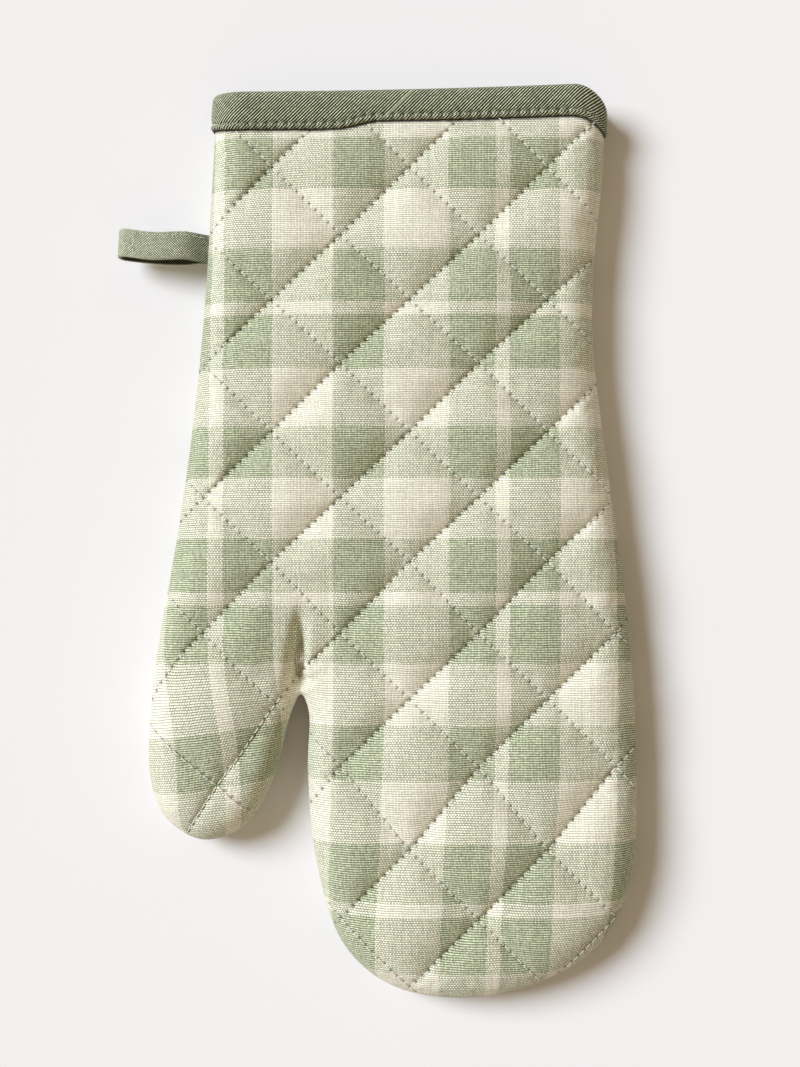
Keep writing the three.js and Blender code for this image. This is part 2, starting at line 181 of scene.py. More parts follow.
# %% Light of the room, and the wall that a low view sees
ROOM_COLOUR = (1.0, 0.80, 0.54, 1)
ROOM_STRENGTH = 0.34
WALL_COLOUR = (0.88, 0.86, 0.85, 1)

world = bpy.data.worlds.new("room")
world.use_nodes = True
room = world.node_tree
room_light = room.nodes["Background"]
room_light.inputs["Color"].default_value = ROOM_COLOUR
room_light.inputs["Strength"].default_value = ROOM_STRENGTH
wall = add_node(room, "ShaderNodeBackground", {"Color": WALL_COLOUR})
ray = add_node(room, "ShaderNodeLightPath")
either = add_node(
    room, "ShaderNodeMixShader",
    {"Fac": ray.outputs["Is Camera Ray"], 1: room_light.outputs[0], 2: wall.outputs[0]},
)
room.links.new(either.outputs[0], room.nodes["World Output"].inputs["Surface"])
bpy.context.scene.world = world
print("nodes in the room:", len(room.nodes))

# %% [markdown]
# ## The outline
#
# Both panels are cut to one outline, drawn as a table of points with a smooth curve through
# them, the same table that the CAD source uses. The curve is a Catmull-Rom spline: it passes
# through every point, and its centripetal form never loops at a tight corner such as the
# notch between the thumb and the hand.

# %% The sewn outline as an even line of points
CUFF_Y = 158.4
SEAM_POINTS = [
    (-58.5, CUFF_Y), (-60.2, 123), (-62.5, 85), (-66, 48), (-72, 4), (-78.5, -33), (-82, -62),
    (-82, -86), (-76.5, -100), (-63, -108), (-48, -103), (-38.5, -89), (-30.8, -62),
    (-27.6, -55.8), (-25.1, -61.5), (-25.4, -82), (-22.5, -114), (-13, -144.5), (3, -159.5),
    (28, -165), (58, -159.5), (81, -144.5), (91.5, -121), (93.7, -85), (90.8, -33), (84, 20),
    (77.9, 70), (78, 95), (81.4, 135), (81.8, CUFF_Y),
]
FINE_STEPS = 1800
SPLINE_STEPS = 80  # between two points of the table, before they are evened out


def smooth_line(points, steps):
    """Evenly spaced points on a centripetal Catmull-Rom spline through the given ones."""
    points = np.array(points, float)
    ends = [2 * points[0] - points[1]], [2 * points[-1] - points[-2]]
    knots = np.vstack([ends[0], points, ends[1]])
    share = np.linspace(0, 1, SPLINE_STEPS, endpoint=False)[:, None]
    found = []
    for before, start, end, after in zip(knots, knots[1:], knots[2:], knots[3:]):
        gaps = (start - before, end - start, after - end)
        first, middle, last = (np.linalg.norm(gap) ** 0.5 for gap in gaps)
        leave = (start - before) / first - (end - before) / (first + middle)
        leave = (leave + (end - start) / middle) * middle
        arrive = (end - start) / middle - (after - start) / (middle + last)
        arrive = (arrive + (after - end) / last) * middle
        square, cube = share**2, share**3
        found.append(
            start * (2 * cube - 3 * square + 1)
            + end * (3 * square - 2 * cube)
            + leave * (cube - 2 * square + share)
            + arrive * (cube - square)
        )
    line = np.vstack(found + [points[-1:]])
    run = np.concatenate([[0], np.cumsum(np.linalg.norm(np.diff(line, axis=0), axis=1))])
    even = np.linspace(0, run[-1], steps + 1)
    return np.column_stack([np.interp(even, run, line[:, axis]) for axis in (0, 1)]), run[-1]


fine_seam, seam_length = smooth_line(SEAM_POINTS, FINE_STEPS)
print("seam is", round(seam_length), "mm long")

# %% The way inwards from the seam, and the drawing's place in the frame
heading = np.gradient(fine_seam, axis=0)
heading /= np.linalg.norm(heading, axis=1)[:, None]
fine_inward = np.column_stack([-heading[:, 1], heading[:, 0]])
fine_inward[0], fine_inward[-1] = (1, 0), (-1, 0)

drawn_low = fine_seam.min(axis=0)
panel_low = np.array(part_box("front_panel")[0][:2]) / MM
DRAWING_AT = np.array([*(panel_low - drawn_low), 0.0])


def in_frame(points):
    """Points of the drawing, in mm, as points of the frame, in metres."""
    return (np.asarray(points, float) + DRAWING_AT) * MM


print("drawing's origin in the frame, in mm:", DRAWING_AT)

# %% [markdown]
# ## The quilting
#
# Two families of straight stitch lines cross the cloth. They meet at the corners of a grid:
# the columns are even, and the rows were read off the mitt one by one. A point's place in the
# quilting is two numbers, one for each family, that are whole on a line and halfway between
# two lines at one half. Everything that follows the stitches later, such as the dents, the
# needle holes and the threads, is worked out from these two numbers.

# %% Rows and columns of the quilting
COLUMN_ZERO = -61.8
COLUMN_PITCH = 24.5
SIDE_LENGTH = COLUMN_PITCH * math.sqrt(2)  # of a diamond
ROWS = [132.6, 108.2, 85.2, 62.6, 38.5, 15.1, -7.6, -33.1, -56.4, -80.5, -109.9, -134.7]
EXTRA_ROWS = 6  # beyond each end, as far apart as the last two

before = [ROWS[0] + (ROWS[0] - ROWS[1]) * (EXTRA_ROWS - i) for i in range(EXTRA_ROWS)]
after = [ROWS[-1] + (ROWS[-1] - ROWS[-2]) * (i + 1) for i in range(EXTRA_ROWS)]
row_heights = np.array(before + ROWS + after)
row_numbers = np.arange(len(row_heights)) - EXTRA_ROWS
print(len(ROWS), "rows, and diamonds with a side of", round(SIDE_LENGTH, 1), "mm")

# %% Where a point lies in the quilting
SWING_PIVOT = (-11.0, -44.0)
SWING_ANGLE = 0.13  # below the notch the thumb's cloth swings towards the hand
SWING_FROM, SWING_TO = -34.0, -78.0
SWING_EDGE_X, SWING_EDGE_WIDTH = -28.0, 8.0


def smooth(share):
    share = np.clip(share, 0, 1)
    return share * share * (3 - 2 * share)


def mix(start, end, share):
    return start + (end - start) * share


def thumb_swing(x, y, pivot=SWING_PIVOT):
    in_thumb = 1 - smooth((x - SWING_EDGE_X) / SWING_EDGE_WIDTH + 0.5)
    swung = SWING_ANGLE * in_thumb * smooth((SWING_FROM - y) / (SWING_FROM - SWING_TO))
    return -swung * (y - pivot[1]), swung * (x - pivot[0])


def quilt_place(x, y):
    """Place in the rising and in the falling family of lines."""
    swing_x, swing_y = thumb_swing(x, y)
    column = (x - swing_x - COLUMN_ZERO) / COLUMN_PITCH
    row = -np.interp(-(y - swing_y), -row_heights, -row_numbers)
    return (column + row - 1) / 2, (column - row - 1) / 2


def quilt_point(rising, falling):
    """The point at a place in the quilting."""
    x = COLUMN_ZERO + COLUMN_PITCH * (rising + falling + 1)
    y = np.interp(rising - falling, row_numbers, row_heights)
    swing_x, swing_y = thumb_swing(x, y)
    return np.column_stack([x + swing_x, y + swing_y])


test = quilt_place(*quilt_point(np.array([2.0]), np.array([1.0])).T)
print("a crossing found again at", [round(float(v[0]), 3) for v in test])

# %% [markdown]
# The checks were woven long before the stitches were sewn, so they follow the cloth in their
# own way. They swing with the thumb about another point and less far to the side. Towards the
# fingertips they lean over and grow a little longer, because the cloth was stretched there.

# %% Where a point lies on the flat cloth
CHECK_PIVOT = (-37.0, -5.0)
CHECK_SIDEWAYS = 0.6
FINGER_LEAN, LEAN_FROM, LEAN_TO = 3.6, -60.0, -165.0
STRETCH_FROM, FINGER_STRETCH = -20.0, 0.07


def cloth_place(points):
    """Where points of the plan lie on the flat cloth: un-swung, and un-stretched at the fingers."""
    x, y = points[:, 0], points[:, 1]
    swing_x, swing_y = thumb_swing(x, y, CHECK_PIVOT)
    lean = FINGER_LEAN * smooth((LEAN_FROM - y) / (LEAN_FROM - LEAN_TO))
    stretched = np.maximum(STRETCH_FROM - y, 0) * FINGER_STRETCH
    return np.column_stack([x - swing_x * CHECK_SIDEWAYS + lean, y - swing_y + stretched])


fingertip = np.array([[40.0, -160.0]])
print("a fingertip's place on the cloth:", np.round(cloth_place(fingertip)[0], 1))

# %% [markdown]
# ## The height of the cloth
#
# Seen from the side, a panel leaves the seam upright, turns over in a quarter of an ellipse,
# rises a little more towards the palm, and puffs up between the stitch lines. Each of these
# is a small function, and a panel's height is their sum. The falling lines keep half of the
# puff, because they were sewn second, over cloth that the rising lines already held.

# %% The turn of the rim, and the line of the cuff
EDGE_RADIUS = 12.0
CUFF_LEAN, CUFF_BOW, CUFF_MIDDLE_X = 0.0226, 0.000157, 8.0
CORNER_DROP = (5.0, 9.0)  # on the thumb's side and on the little finger's side
CORNER_FADE = 45.0


def turned_share(distance, wall):
    """How far the rim has turned over, from 0 at the seam to 1 where the hand is flat."""
    return np.clip((distance - wall) / (EDGE_RADIUS - wall), 0, 1)


def cuff_shift(x, y, turned, corner_drop=CORNER_DROP):
    """How far the cuff's lean, bow and dropped corners move a point along the mitt."""
    across = x - CUFF_MIDDLE_X
    drop = np.where(across < 0, *corner_drop)
    line = CUFF_LEAN * across + CUFF_BOW * across**2
    return (line - drop * (1 - turned) ** 2) * smooth(1 - (CUFF_Y - y) / CORNER_FADE)


def below_cuff(x, y, turned):
    return CUFF_Y - y + cuff_shift(x, y, turned)


ends_x = np.array([SEAM_POINTS[0][0], SEAM_POINTS[-1][0]])
print("cuff's ends are moved by", np.round(cuff_shift(ends_x, CUFF_Y, 0), 1), "mm")

# %% How far down the binding reaches
BINDING_DEPTH = (11.1, 8.5)  # before and after the bias join
BIAS_JOIN_X, BIAS_JOIN_WIDTH = -7.0, 15.0
BINDING_CORNER_DROP = (0.0, 7.0)
SIDE_DEPTH = {"start": 0.84, "": 1.0, "end": 1.0}  # of the full depth, at the seams
PUFF_CUFF_REACH = 6.0


def binding_depth(x):
    """How far the binding reaches down, with the step at its bias join."""
    return mix(*BINDING_DEPTH, smooth((x - BIAS_JOIN_X) / BIAS_JOIN_WIDTH + 0.5))


def past_binding(x, y, turned):
    """0 under the binding, growing to 1 below it."""
    return smooth((below_cuff(x, y, turned) - binding_depth(x)) / PUFF_CUFF_REACH)


def below_binding(x, y, turned):
    """Millimetres from the drawn lower edge of the binding."""
    at_side = np.where(x < CUFF_MIDDLE_X, SIDE_DEPTH["start"], SIDE_DEPTH["end"])
    depth = binding_depth(x) * mix(at_side, 1, np.sqrt(1 - (1 - turned) ** 2))
    return CUFF_Y - y + cuff_shift(x, y, turned, BINDING_CORNER_DROP) - depth


print("binding's depth at both ends:", np.round(binding_depth(ends_x), 1), "mm")

# %% Puffs between the stitch lines, and the palm's dome
PUFF_REACH = 9.0
SHALLOW_LINE = 0.5
DOME_RISE, DOME_START, DOME_REACH = 3.0, 6.0, 40.0
DOME_CUFF_START, DOME_CUFF_REACH = 15.0, 60.0


def puff(x, y, distance, turned):
    """0 on a rising line and at the rim, 1 in the middle of a diamond."""
    rising, falling = quilt_place(x, y)
    over_rising = np.sqrt(np.abs(np.sin(np.pi * rising)))
    over_falling = mix(SHALLOW_LINE, 1, np.sqrt(np.abs(np.sin(np.pi * falling))))
    from_seam = smooth(distance / PUFF_REACH) * smooth(turned * 2)
    return over_rising * over_falling * from_seam * past_binding(x, y, turned)


def dome(y, distance):
    """The slow rise towards the middle of the hand."""
    from_cuff = smooth((CUFF_Y - y - DOME_CUFF_START) / DOME_CUFF_REACH)
    return DOME_RISE * smooth((distance - DOME_START) / DOME_REACH) * from_cuff


print("dome over the palm:", round(float(dome(0.0, 60.0)), 1), "mm")

# %% [markdown]
# Above the notch the cloth of the hand and of the thumb is pushed together. It makes one deep
# fold that runs up from the notch, steep towards the hand and gentle towards the thumb, with a
# low ridge beside it. Right at the notch the cloth is bunched in small wrinkles, and fine
# puckers run out from there like rays.

# %% The cloth above the notch
FOLD_FROM, FOLD_TO = (-27.2, -62.0), (-27.6, -17.0)
FOLD_DEPTH, FOLD_SLOPE, FOLD_WALL = 12.5, 3.5, 1.1
TOP_SLOPE, TOP_WALL = 0.55, 3.0  # the same widths at the fold's top, of those at its foot
FOLD_POWER = 2.2  # higher makes the fold's sides steeper
FADE_SPEED, FADE_DELAY = 1.6, 0.1  # towards the top
GROW_SPEED, GROW_START = 4.0, 0.1  # at the foot
RIDGE_OUT, RIDGE_WIDTH, RIDGE_RISE = 3.2, 2.4, 0.3
BUNCH_AT, BUNCH_WIDTH, BUNCH_LENGTH, BUNCH_RISE = (-25.9, -50.2), 1.5, 3.8, 1.2
BUNCH_WRINKLE, BUNCH_WRINKLE_RISE, BUNCH_SLANT = 2.6, 0.8, 0.4
PUCKERS, PUCKER_RISE, PUCKER_REACH, PUCKER_START = 11, 0.75, 8.0, 4.0
RIM_SPEED = 1.5  # all of it fades towards the seam


def bell(value, width):
    """1 where the value is 0, falling to nothing over a few widths."""
    return np.exp(-((value / width) ** 2))


def fold(x, y):
    """Height of the fold and the ridge beside it."""
    along = (y - FOLD_FROM[1]) / (FOLD_TO[1] - FOLD_FROM[1])
    aside = x - mix(FOLD_FROM[0], FOLD_TO[0], along)
    fading = smooth((1 - along) * FADE_SPEED - FADE_DELAY)
    slope = FOLD_SLOPE * mix(TOP_SLOPE, 1, fading)
    wall = FOLD_WALL * mix(TOP_WALL, 1, fading)
    width = np.where(aside < 0, slope, wall)
    valley = np.exp(-(np.abs(aside / width) ** FOLD_POWER)) * FOLD_DEPTH
    ridge = bell(aside - RIDGE_OUT, RIDGE_WIDTH) * RIDGE_RISE
    return (ridge - valley) * (fading * smooth((along + GROW_START) * GROW_SPEED))


def notch_cloth(x, y, turned):
    """The fold that runs up from the notch, the bunched cloth and its puckers."""
    from_x, from_y = x - BUNCH_AT[0], y - BUNCH_AT[1]
    wave = np.sin(2 * np.pi * (from_y + BUNCH_SLANT * from_x) / BUNCH_WRINKLE)
    rise = BUNCH_RISE + wave * BUNCH_WRINKLE_RISE
    bunch = bell(from_x, BUNCH_WIDTH) * bell(from_y, BUNCH_LENGTH) * rise
    rays = np.sin(PUCKERS * np.arctan2(from_y, from_x))
    away = np.hypot(from_x, from_y)
    puckers = rays * PUCKER_RISE * bell(away, PUCKER_REACH) * smooth(away / PUCKER_START)
    return (fold(x, y) + puckers + bunch) * smooth(turned * RIM_SPEED)


print("fold is", round(float(-fold(FOLD_FROM[0], FOLD_FROM[1] + 10)), 1), "mm deep near its foot")

# %% Height of a panel
SEAM_HEIGHT = 11.0
FIT_GAP = 0.3
RIM_WALL, STITCH_WALL, PUFF_WALL = 3.6, 2.6, 2.6
RISE = {"front": 10.0, "back": 9.35}
CROWN = {"front": 2.5, "back": 2.4}
SIDE = {"front": 1, "back": -1}


def panel_height(side, wall, x, y, distance):
    """Height over the seam of a panel's outer face, wall 0, or inner face."""
    turned = turned_share(distance, wall)
    edge = (RISE[side] - wall) * np.sqrt(1 - (1 - turned) ** 2)
    puffed = puff(x, y, distance, turned)
    thicker = STITCH_WALL + PUFF_WALL * puffed - RIM_WALL
    thinning = thicker * past_binding(x, y, turned) * smooth(turned) if wall else 0
    lift = dome(y, distance) + notch_cloth(x, y, turned) if side == "front" else 0
    return edge + lift + CROWN[side] * puffed - thinning


def panel_z(side, wall, x, y, distance):
    z = SEAM_HEIGHT + SIDE[side] * (FIT_GAP / 2 + panel_height(side, wall, x, y, distance))
    return np.maximum(z, 0)


middle_of_palm = panel_z("front", 0, np.array([20.0]), np.array([0.0]), np.array([60.0]))
print("palm stands", round(float(middle_of_palm[0]), 1), "mm over the table")

# %% [markdown]
# ## Shader maths as plain expressions
#
# A woven finish is worked out at every point from numbers: which yarn lies here, how far
# across it, whether it passes over or under. In the shader editor each plus and times is a
# Math node, and a weave needs dozens. So a Wire stands for the output of a node, and writing
# `a * b + 1` with wires adds the Math nodes. Every other node comes from one method, which
# takes the node's type, the values or wires of its sockets, and its settings.

# %% A finish and its nodes
class Finish:
    """A material whose node tree is written as expressions."""

    def __init__(self, name):
        self.material = bpy.data.materials.new(name)
        self.material.use_nodes = True
        self.tree = self.material.node_tree
        self.tree.nodes.clear()

    def node(self, kind, sockets=None, settings=None, output=0):
        """Adds a node. Its sockets get wires or plain values."""
        plain = {name: getattr(value, "socket", value) for name, value in (sockets or {}).items()}
        return Wire(self, add_node(self.tree, kind, plain, settings).outputs[output])

    def blend(self, share, start, end):
        """A colour between two colours."""
        sockets = {0: share, 6: start, 7: end}
        return self.node("ShaderNodeMix", sockets, {"data_type": "RGBA"}, output=2)

    def scaled(self, colour, by):
        sockets = {0: colour, "Scale": by}
        return self.node("ShaderNodeVectorMath", sockets, {"operation": "SCALE"})

    def cloth_place(self):
        """The flat cloth's two lengths, in mm."""
        place = self.node("ShaderNodeUVMap", settings={"uv_map": "cloth"})
        return [axis / MM for axis in self.parts(place)[:2]]

    def parts(self, vector):
        split = self.node("ShaderNodeSeparateXYZ", {0: vector})
        return [Wire(self, socket) for socket in split.socket.node.outputs]

    def joined(self, x, y, z=0.0):
        return self.node("ShaderNodeCombineXYZ", {0: x, 1: y, 2: z})

    def noise(self, vector, scale, detail=2.0):
        return self.node("ShaderNodeTexNoise", {"Vector": vector, "Scale": scale, "Detail": detail})

    def close(self, colour, height, roughness=0.92, sheen=0.15):
        """Ends the tree in cloth of this colour, with relief of this height in mm."""
        relief = self.node("ShaderNodeBump", {"Height": height, "Distance": MM, "Strength": 1.0})
        sockets = {"Base Color": colour, "Normal": relief, "Roughness": roughness}
        sockets |= {"Specular IOR Level": 0.2, "Sheen Weight": sheen, "Sheen Roughness": 0.5}
        shader = self.node("ShaderNodeBsdfPrincipled", sockets)
        add_node(self.tree, "ShaderNodeOutputMaterial", {"Surface": shader.socket})
        return self.material


print("a finish can now be written as expressions")

# %% A wire with arithmetic
class Wire:
    """The output of a node, with arithmetic."""

    def __init__(self, finish, socket):
        self.finish = finish
        self.socket = socket

    def math(self, operation, *others):
        values = dict(enumerate((self, *others)))
        return self.finish.node("ShaderNodeMath", values, {"operation": operation})

    def __add__(self, other):
        return self.math("ADD", other)

    def __sub__(self, other):
        return self.math("SUBTRACT", other)

    def __rsub__(self, other):
        return self.finish.node("ShaderNodeMath", {0: other, 1: self}, {"operation": "SUBTRACT"})

    def __mul__(self, other):
        return self.math("MULTIPLY", other)

    def __truediv__(self, other):
        return self.math("DIVIDE", other)

    __radd__ = __add__
    __rmul__ = __mul__

    def ramped(self, low, high):
        """0 below low, 1 above high, and smooth between."""
        sockets = {"Value": self, "From Min": low, "From Max": high}
        return self.finish.node("ShaderNodeMapRange", sockets, {"interpolation_type": "SMOOTHSTEP"})

    def bell(self, width):
        """1 where the value is 0, falling to nothing over a few widths."""
        return ((self / width) * (self / width) * -1).math("EXPONENT")


print("wires know", [name for name in vars(Wire) if "_" not in name])

# %% [markdown]
# ## A plain weave
#
# In a plain weave every yarn goes over one and under the next. Across its width a yarn is
# round, so its height is a sine there, and along its length it rises and dips by another sine
# with the opposite sign for its neighbour. The higher of the two yarns is the one that shows.
# Where both are low there is a small hole. One function gives all of this in yarn
# numbers, and each finish decides how its yarns are coloured, with painted shade in the low
# places and a painted highlight on the crests.

# %% Plain weave
RISE_AND_DIP = 0.8
YARN_SHADE = (0.76, 0.2, 0.28)  # the least, and what each yarn and its thick places add
YARN_APART, PLACES_APART = 7.31, 0.16  # steps in the noise, from yarn to yarn and along one


def plain_weave(u, v):
    """Warp and weft yarn numbers, where warp is on top, and the height from 0 to 1."""
    warp, weft = u.math("FLOOR"), v.math("FLOOR")
    over = (warp + weft).math("PINGPONG", 1) * 2 - 1
    across_warp = ((u - warp) * math.pi).math("SINE")
    across_weft = ((v - weft) * math.pi).math("SINE")
    warp_height = across_warp + over * across_weft * RISE_AND_DIP
    weft_height = across_weft - over * across_warp * RISE_AND_DIP
    on_top = warp_height.math("GREATER_THAN", weft_height)
    height = warp_height.math("MAXIMUM", weft_height) / (1 + RISE_AND_DIP)
    return warp, weft, on_top, height


def uneven(finish, number, along, seed):
    """Each yarn's own shade, and its thick and thin places, around 1."""
    own = finish.node(
        "ShaderNodeTexWhiteNoise", {"W": number + seed}, {"noise_dimensions": "1D"}
    )
    place = finish.joined(number * YARN_APART + seed, along * PLACES_APART)
    least, of_yarn, of_place = YARN_SHADE
    return least + own * of_yarn + finish.noise(place, 1.0) * of_place


def speckle(finish, warp, weft, strength):
    """A shade around 1 for each crossing of two yarns."""
    place = finish.joined(warp, weft)
    picked = finish.node("ShaderNodeTexWhiteNoise", {"Vector": place}, {"noise_dimensions": "2D"})
    return 1 + (picked - 0.5) * strength


print("a yarn's shade lies between", YARN_SHADE[0], "and", round(sum(YARN_SHADE), 2))

# The order of the stripes is the same both ways: a thin cream line, green, broad cream,
# green, broad cream, green. Colouring whole yarns, and not squares, gives the true
# salt-and-pepper look. The needle holes and the small scallops beside them are read from the
# place in the quilting that every point of the mesh carries, eleven stitches to the side of a
# diamond; the holes are pressed in and get painted shade. Another number is the distance below
# the binding's edge, where a thin painted shadow darkens the cloth.

# %% Stripes of yarn
WARP_YARN, WEFT_YARN = 0.5, 0.76
WARP_STRIPES = [5.0, 17.5, 21.5, 18.4, 22.6, 16.9]  # cream and green by turns, left to right
WEFT_STRIPES = [4.7, 19.1, 20.7, 18.7, 20.2, 19.0]  # and upwards
WARP_START, WEFT_START = -59.9, 79.5  # where a thin cream line begins, across and up the mitt


def creamy(finish, number, yarn, start, stripes):
    """1 for a cream yarn and 0 for a green one, by its number."""
    repeat = sum(stripes)
    stops = [(sum(stripes[:i]) / repeat, float(i % 2 == 0)) for i in range(len(stripes))]
    place = ((number + 0.5) * yarn - start) / repeat
    return finish.node("ShaderNodeValToRGB", {"Fac": place.math("FRACT")}, {"stops": stops})


print("checks repeat every", round(sum(WARP_STRIPES), 1), "mm")

# %% Needle holes, and the scallops between them
STITCHES_PER_SIDE = 11
HOLE_WIDTH = 0.44
# How deep each needle hole is pressed in, and how much painted shade it gets:
HOLE_DEPTH_AND_SHADE = (0.85, 0.6)  # on the rising and on the falling lines
SCALLOP_ASIDE, SCALLOP_STEP, SCALLOP_SWELL = 1.1, 0.8, (1.0, 0.2)


def stitched_relief(finish):
    """The needle holes, and the scallops between them, each from 0 to 1."""
    place = finish.node("ShaderNodeAttribute", settings={"attribute_name": "quilt"}, output=1)
    rising, falling = finish.parts(place)[:2]
    families = zip((rising, falling), (falling, rising), HOLE_DEPTH_AND_SHADE, SCALLOP_SWELL)
    holes, scallops = [], []
    for line, along, darkness, swell in families:
        aside = (line - line.math("ROUND")) * SIDE_LENGTH
        stitch = along * STITCHES_PER_SIDE
        step = (stitch - stitch.math("ROUND")) * (SIDE_LENGTH / STITCHES_PER_SIDE)
        holes.append(aside.bell(HOLE_WIDTH) * step.bell(HOLE_WIDTH) * darkness)
        scallops.append(aside.bell(SCALLOP_ASIDE) * (1 - step.bell(SCALLOP_STEP)) * swell)
    return holes[0].math("MAXIMUM", holes[1]), scallops[0].math("MAXIMUM", scallops[1])


print("a stitch is", round(SIDE_LENGTH / STITCHES_PER_SIDE, 2), "mm long")

# %% The checked cloth's finish
GREEN_YARN = (0.56, 0.60, 0.40, 1)
CREAM_YARN = (0.915, 0.877, 0.704, 1)
# Painted shade in the gaps between yarns, and a painted highlight on their crests:
GAP_PAINTED_SHADE = (0.15, 0.5)  # how dark the gaps are beside green and beside cream yarns
CREST_PAINTED_HIGHLIGHT = (1.34, 1.24)
# Painted shade in the grooves between two weft yarns:
ROW_PAINTED_SHADE = (0.45, 0.75)  # how dark it is between two weft yarns
SPECKLE = (0.45, 0.2)
WAVER, WAVER_STEP = 0.9, 0.12  # yarns wander by this many widths, in waves of about 8 mm
# A thin painted shadow below the binding's edge:
BINDING_SHADOW_AT, BINDING_SHADOW_WIDTH, BINDING_SHADOW_DARKNESS = 0.75, 0.7, 0.95  # below the binding's edge
YARN_RELIEF, SCALLOP_RELIEF, HOLE_RELIEF = 0.16, 0.35, 0.4  # in mm
# painted shade in the needle holes
HOLE_PAINTED_SHADE = 0.95


def checked_cloth():
    finish = Finish("checked cotton")
    across, up = finish.cloth_place()
    wave = finish.noise(finish.joined(across * WAVER_STEP, up * WAVER_STEP), 1.0, 1.0)
    waver = (wave - 0.5) * WAVER
    u, v = across / WARP_YARN + waver, up / WEFT_YARN + waver
    warp, weft, on_top, height = plain_weave(u, v)
    warp_cream = creamy(finish, warp, WARP_YARN, WARP_START, WARP_STRIPES)
    weft_cream = creamy(finish, weft, WEFT_YARN, WEFT_START, WEFT_STRIPES)
    cream = mix(weft_cream, warp_cream, on_top)
    slub = mix(uneven(finish, weft, across, 57.0), uneven(finish, warp, up, 3.0), on_top)
    fleck = speckle(finish, warp, weft, mix(*SPECKLE, cream))
    # painted shade in the grooves between weft rows
    row = ((v - weft) * math.pi).math("SINE").ramped(0.1, 0.9)
    rows = mix(mix(*ROW_PAINTED_SHADE, cream), 1, row)
    # the needle holes are pressed in and darkened with painted shade
    hole, scallop = stitched_relief(finish)
    # painted shadow in a thin line below the binding's edge
    below = finish.node("ShaderNodeAttribute", settings={"attribute_name": "below"}, output=2)
    painted_binding_shadow = (below - BINDING_SHADOW_AT).bell(BINDING_SHADOW_WIDTH) * BINDING_SHADOW_DARKNESS
    # painted shade in the gaps between yarns and a painted highlight on their crests
    depth = mix(mix(*GAP_PAINTED_SHADE, cream), mix(*CREST_PAINTED_HIGHLIGHT, cream), height.ramped(0.2, 0.95))
    colour = finish.blend(cream, GREEN_YARN, CREAM_YARN)
    relief = height * YARN_RELIEF + scallop * SCALLOP_RELIEF - hole * HOLE_RELIEF
    shade = depth * slub * fleck * rows * (1 - hole * HOLE_PAINTED_SHADE) * (1 - painted_binding_shadow)
    return finish.close(finish.scaled(colour, shade), relief)


CHECKED = checked_cloth()
print("nodes in the checked cloth:", len(CHECKED.node_tree.nodes))

# %% [markdown]
# ## Lining and binding cloth
#
# The lining is the plain undyed cotton of the cream yarns. The binding and the loop are one
# solid green cloth, but the binding's colour is drawn about half as bright as the loop's: painted
# shade for the deep shadow between its tight ribs. The binding is cut on the bias, slantwise to
# its yarns, because only then does it bend round the cuff without puckers. Pulled tight, one
# family of its yarns stands up as diagonal ribs, with painted shade in the gaps between them. Its
# two ends meet in a slanting join, which runs with the ribs and shows as a raised line with a
# painted highlight along it. Little light comes into the gap of the loop or down to where it dips
# into the seam, so painted shade makes its finish darker there.

# %% Light on the loop
GAP_SIDE = (0.2, 10.2)  # the side of the loop's strip that faces its gap, round it in mm
GAP_SOFT = 0.3
GAP_DARKNESS, SEAM_DARKNESS = 0.85, 0.5
SEAM_FROM, SEAM_TO = 4.0, 15.0  # where the loop grows lighter, along it in mm


def loop_light(across, up):
    """How much light reaches the loop, from its place along and round the strip."""
    start, end = GAP_SIDE
    in_gap = up.ramped(start, start + GAP_SOFT) * (1 - up.ramped(end - GAP_SOFT, end))
    at_seam = 1 - across.ramped(SEAM_FROM, SEAM_TO)
    return (1 - in_gap * GAP_DARKNESS) * (1 - at_seam * SEAM_DARKNESS)


print("the gap's side is", GAP_SIDE[1] - GAP_SIDE[0], "mm wide")

# %% Plain cloths
PLAIN_SPECKLE = 0.45
CREST_FROM = 0.6  # lower than this share of a yarn's height it is darkest
JOIN_PLACE = -58.5  # of the bias join, across the ribs, in mm
JOIN_WIDTH, JOIN_PAINTED_HIGHLIGHT, JOIN_RELIEF = 0.45, 1.6, 2.0


def plain_cloth(name, colour, yarn, painted_gap_and_crest, slant=0.0, relief=0.16, ribs=0.0, join=None,
                light=None):
    """One colour of yarn both ways, with the yarns turned by a slant in degrees."""
    darkest, crest = painted_gap_and_crest
    finish = Finish(name)
    across, up = finish.cloth_place()
    cos, sin = math.cos(math.radians(slant)), math.sin(math.radians(slant))
    u = (across * cos + up * sin) / yarn
    v = (up * cos - across * sin) / yarn
    warp, weft, on_top, height = plain_weave(u, v)
    shade = mix(uneven(finish, weft, u, 11.0), uneven(finish, warp, v, 29.0), on_top)
    fleck = speckle(finish, warp, weft, PLAIN_SPECKLE)
    if ribs:
        rib = ((v - weft) * math.pi).math("SINE")
        height = mix(height, rib, ribs)
    # painted shade in the gaps between yarns and a painted highlight on their crests
    depth = mix(darkest, crest, height.ramped(CREST_FROM, 1.0)) * shade * fleck
    # the join's raised line is lightened by a painted highlight
    if join is not None:
        line = (up * cos - across * sin - join).bell(JOIN_WIDTH)
        depth = depth * (1 - line) + line * JOIN_PAINTED_HIGHLIGHT
        height = height + line * JOIN_RELIEF
    if light is not None:
        depth = depth * light(across, up)
    return finish.close(finish.scaled(colour, depth), height * relief)


LINING = plain_cloth("cream lining", (0.80, 0.75, 0.62), 0.7, (0.55, 1.3))
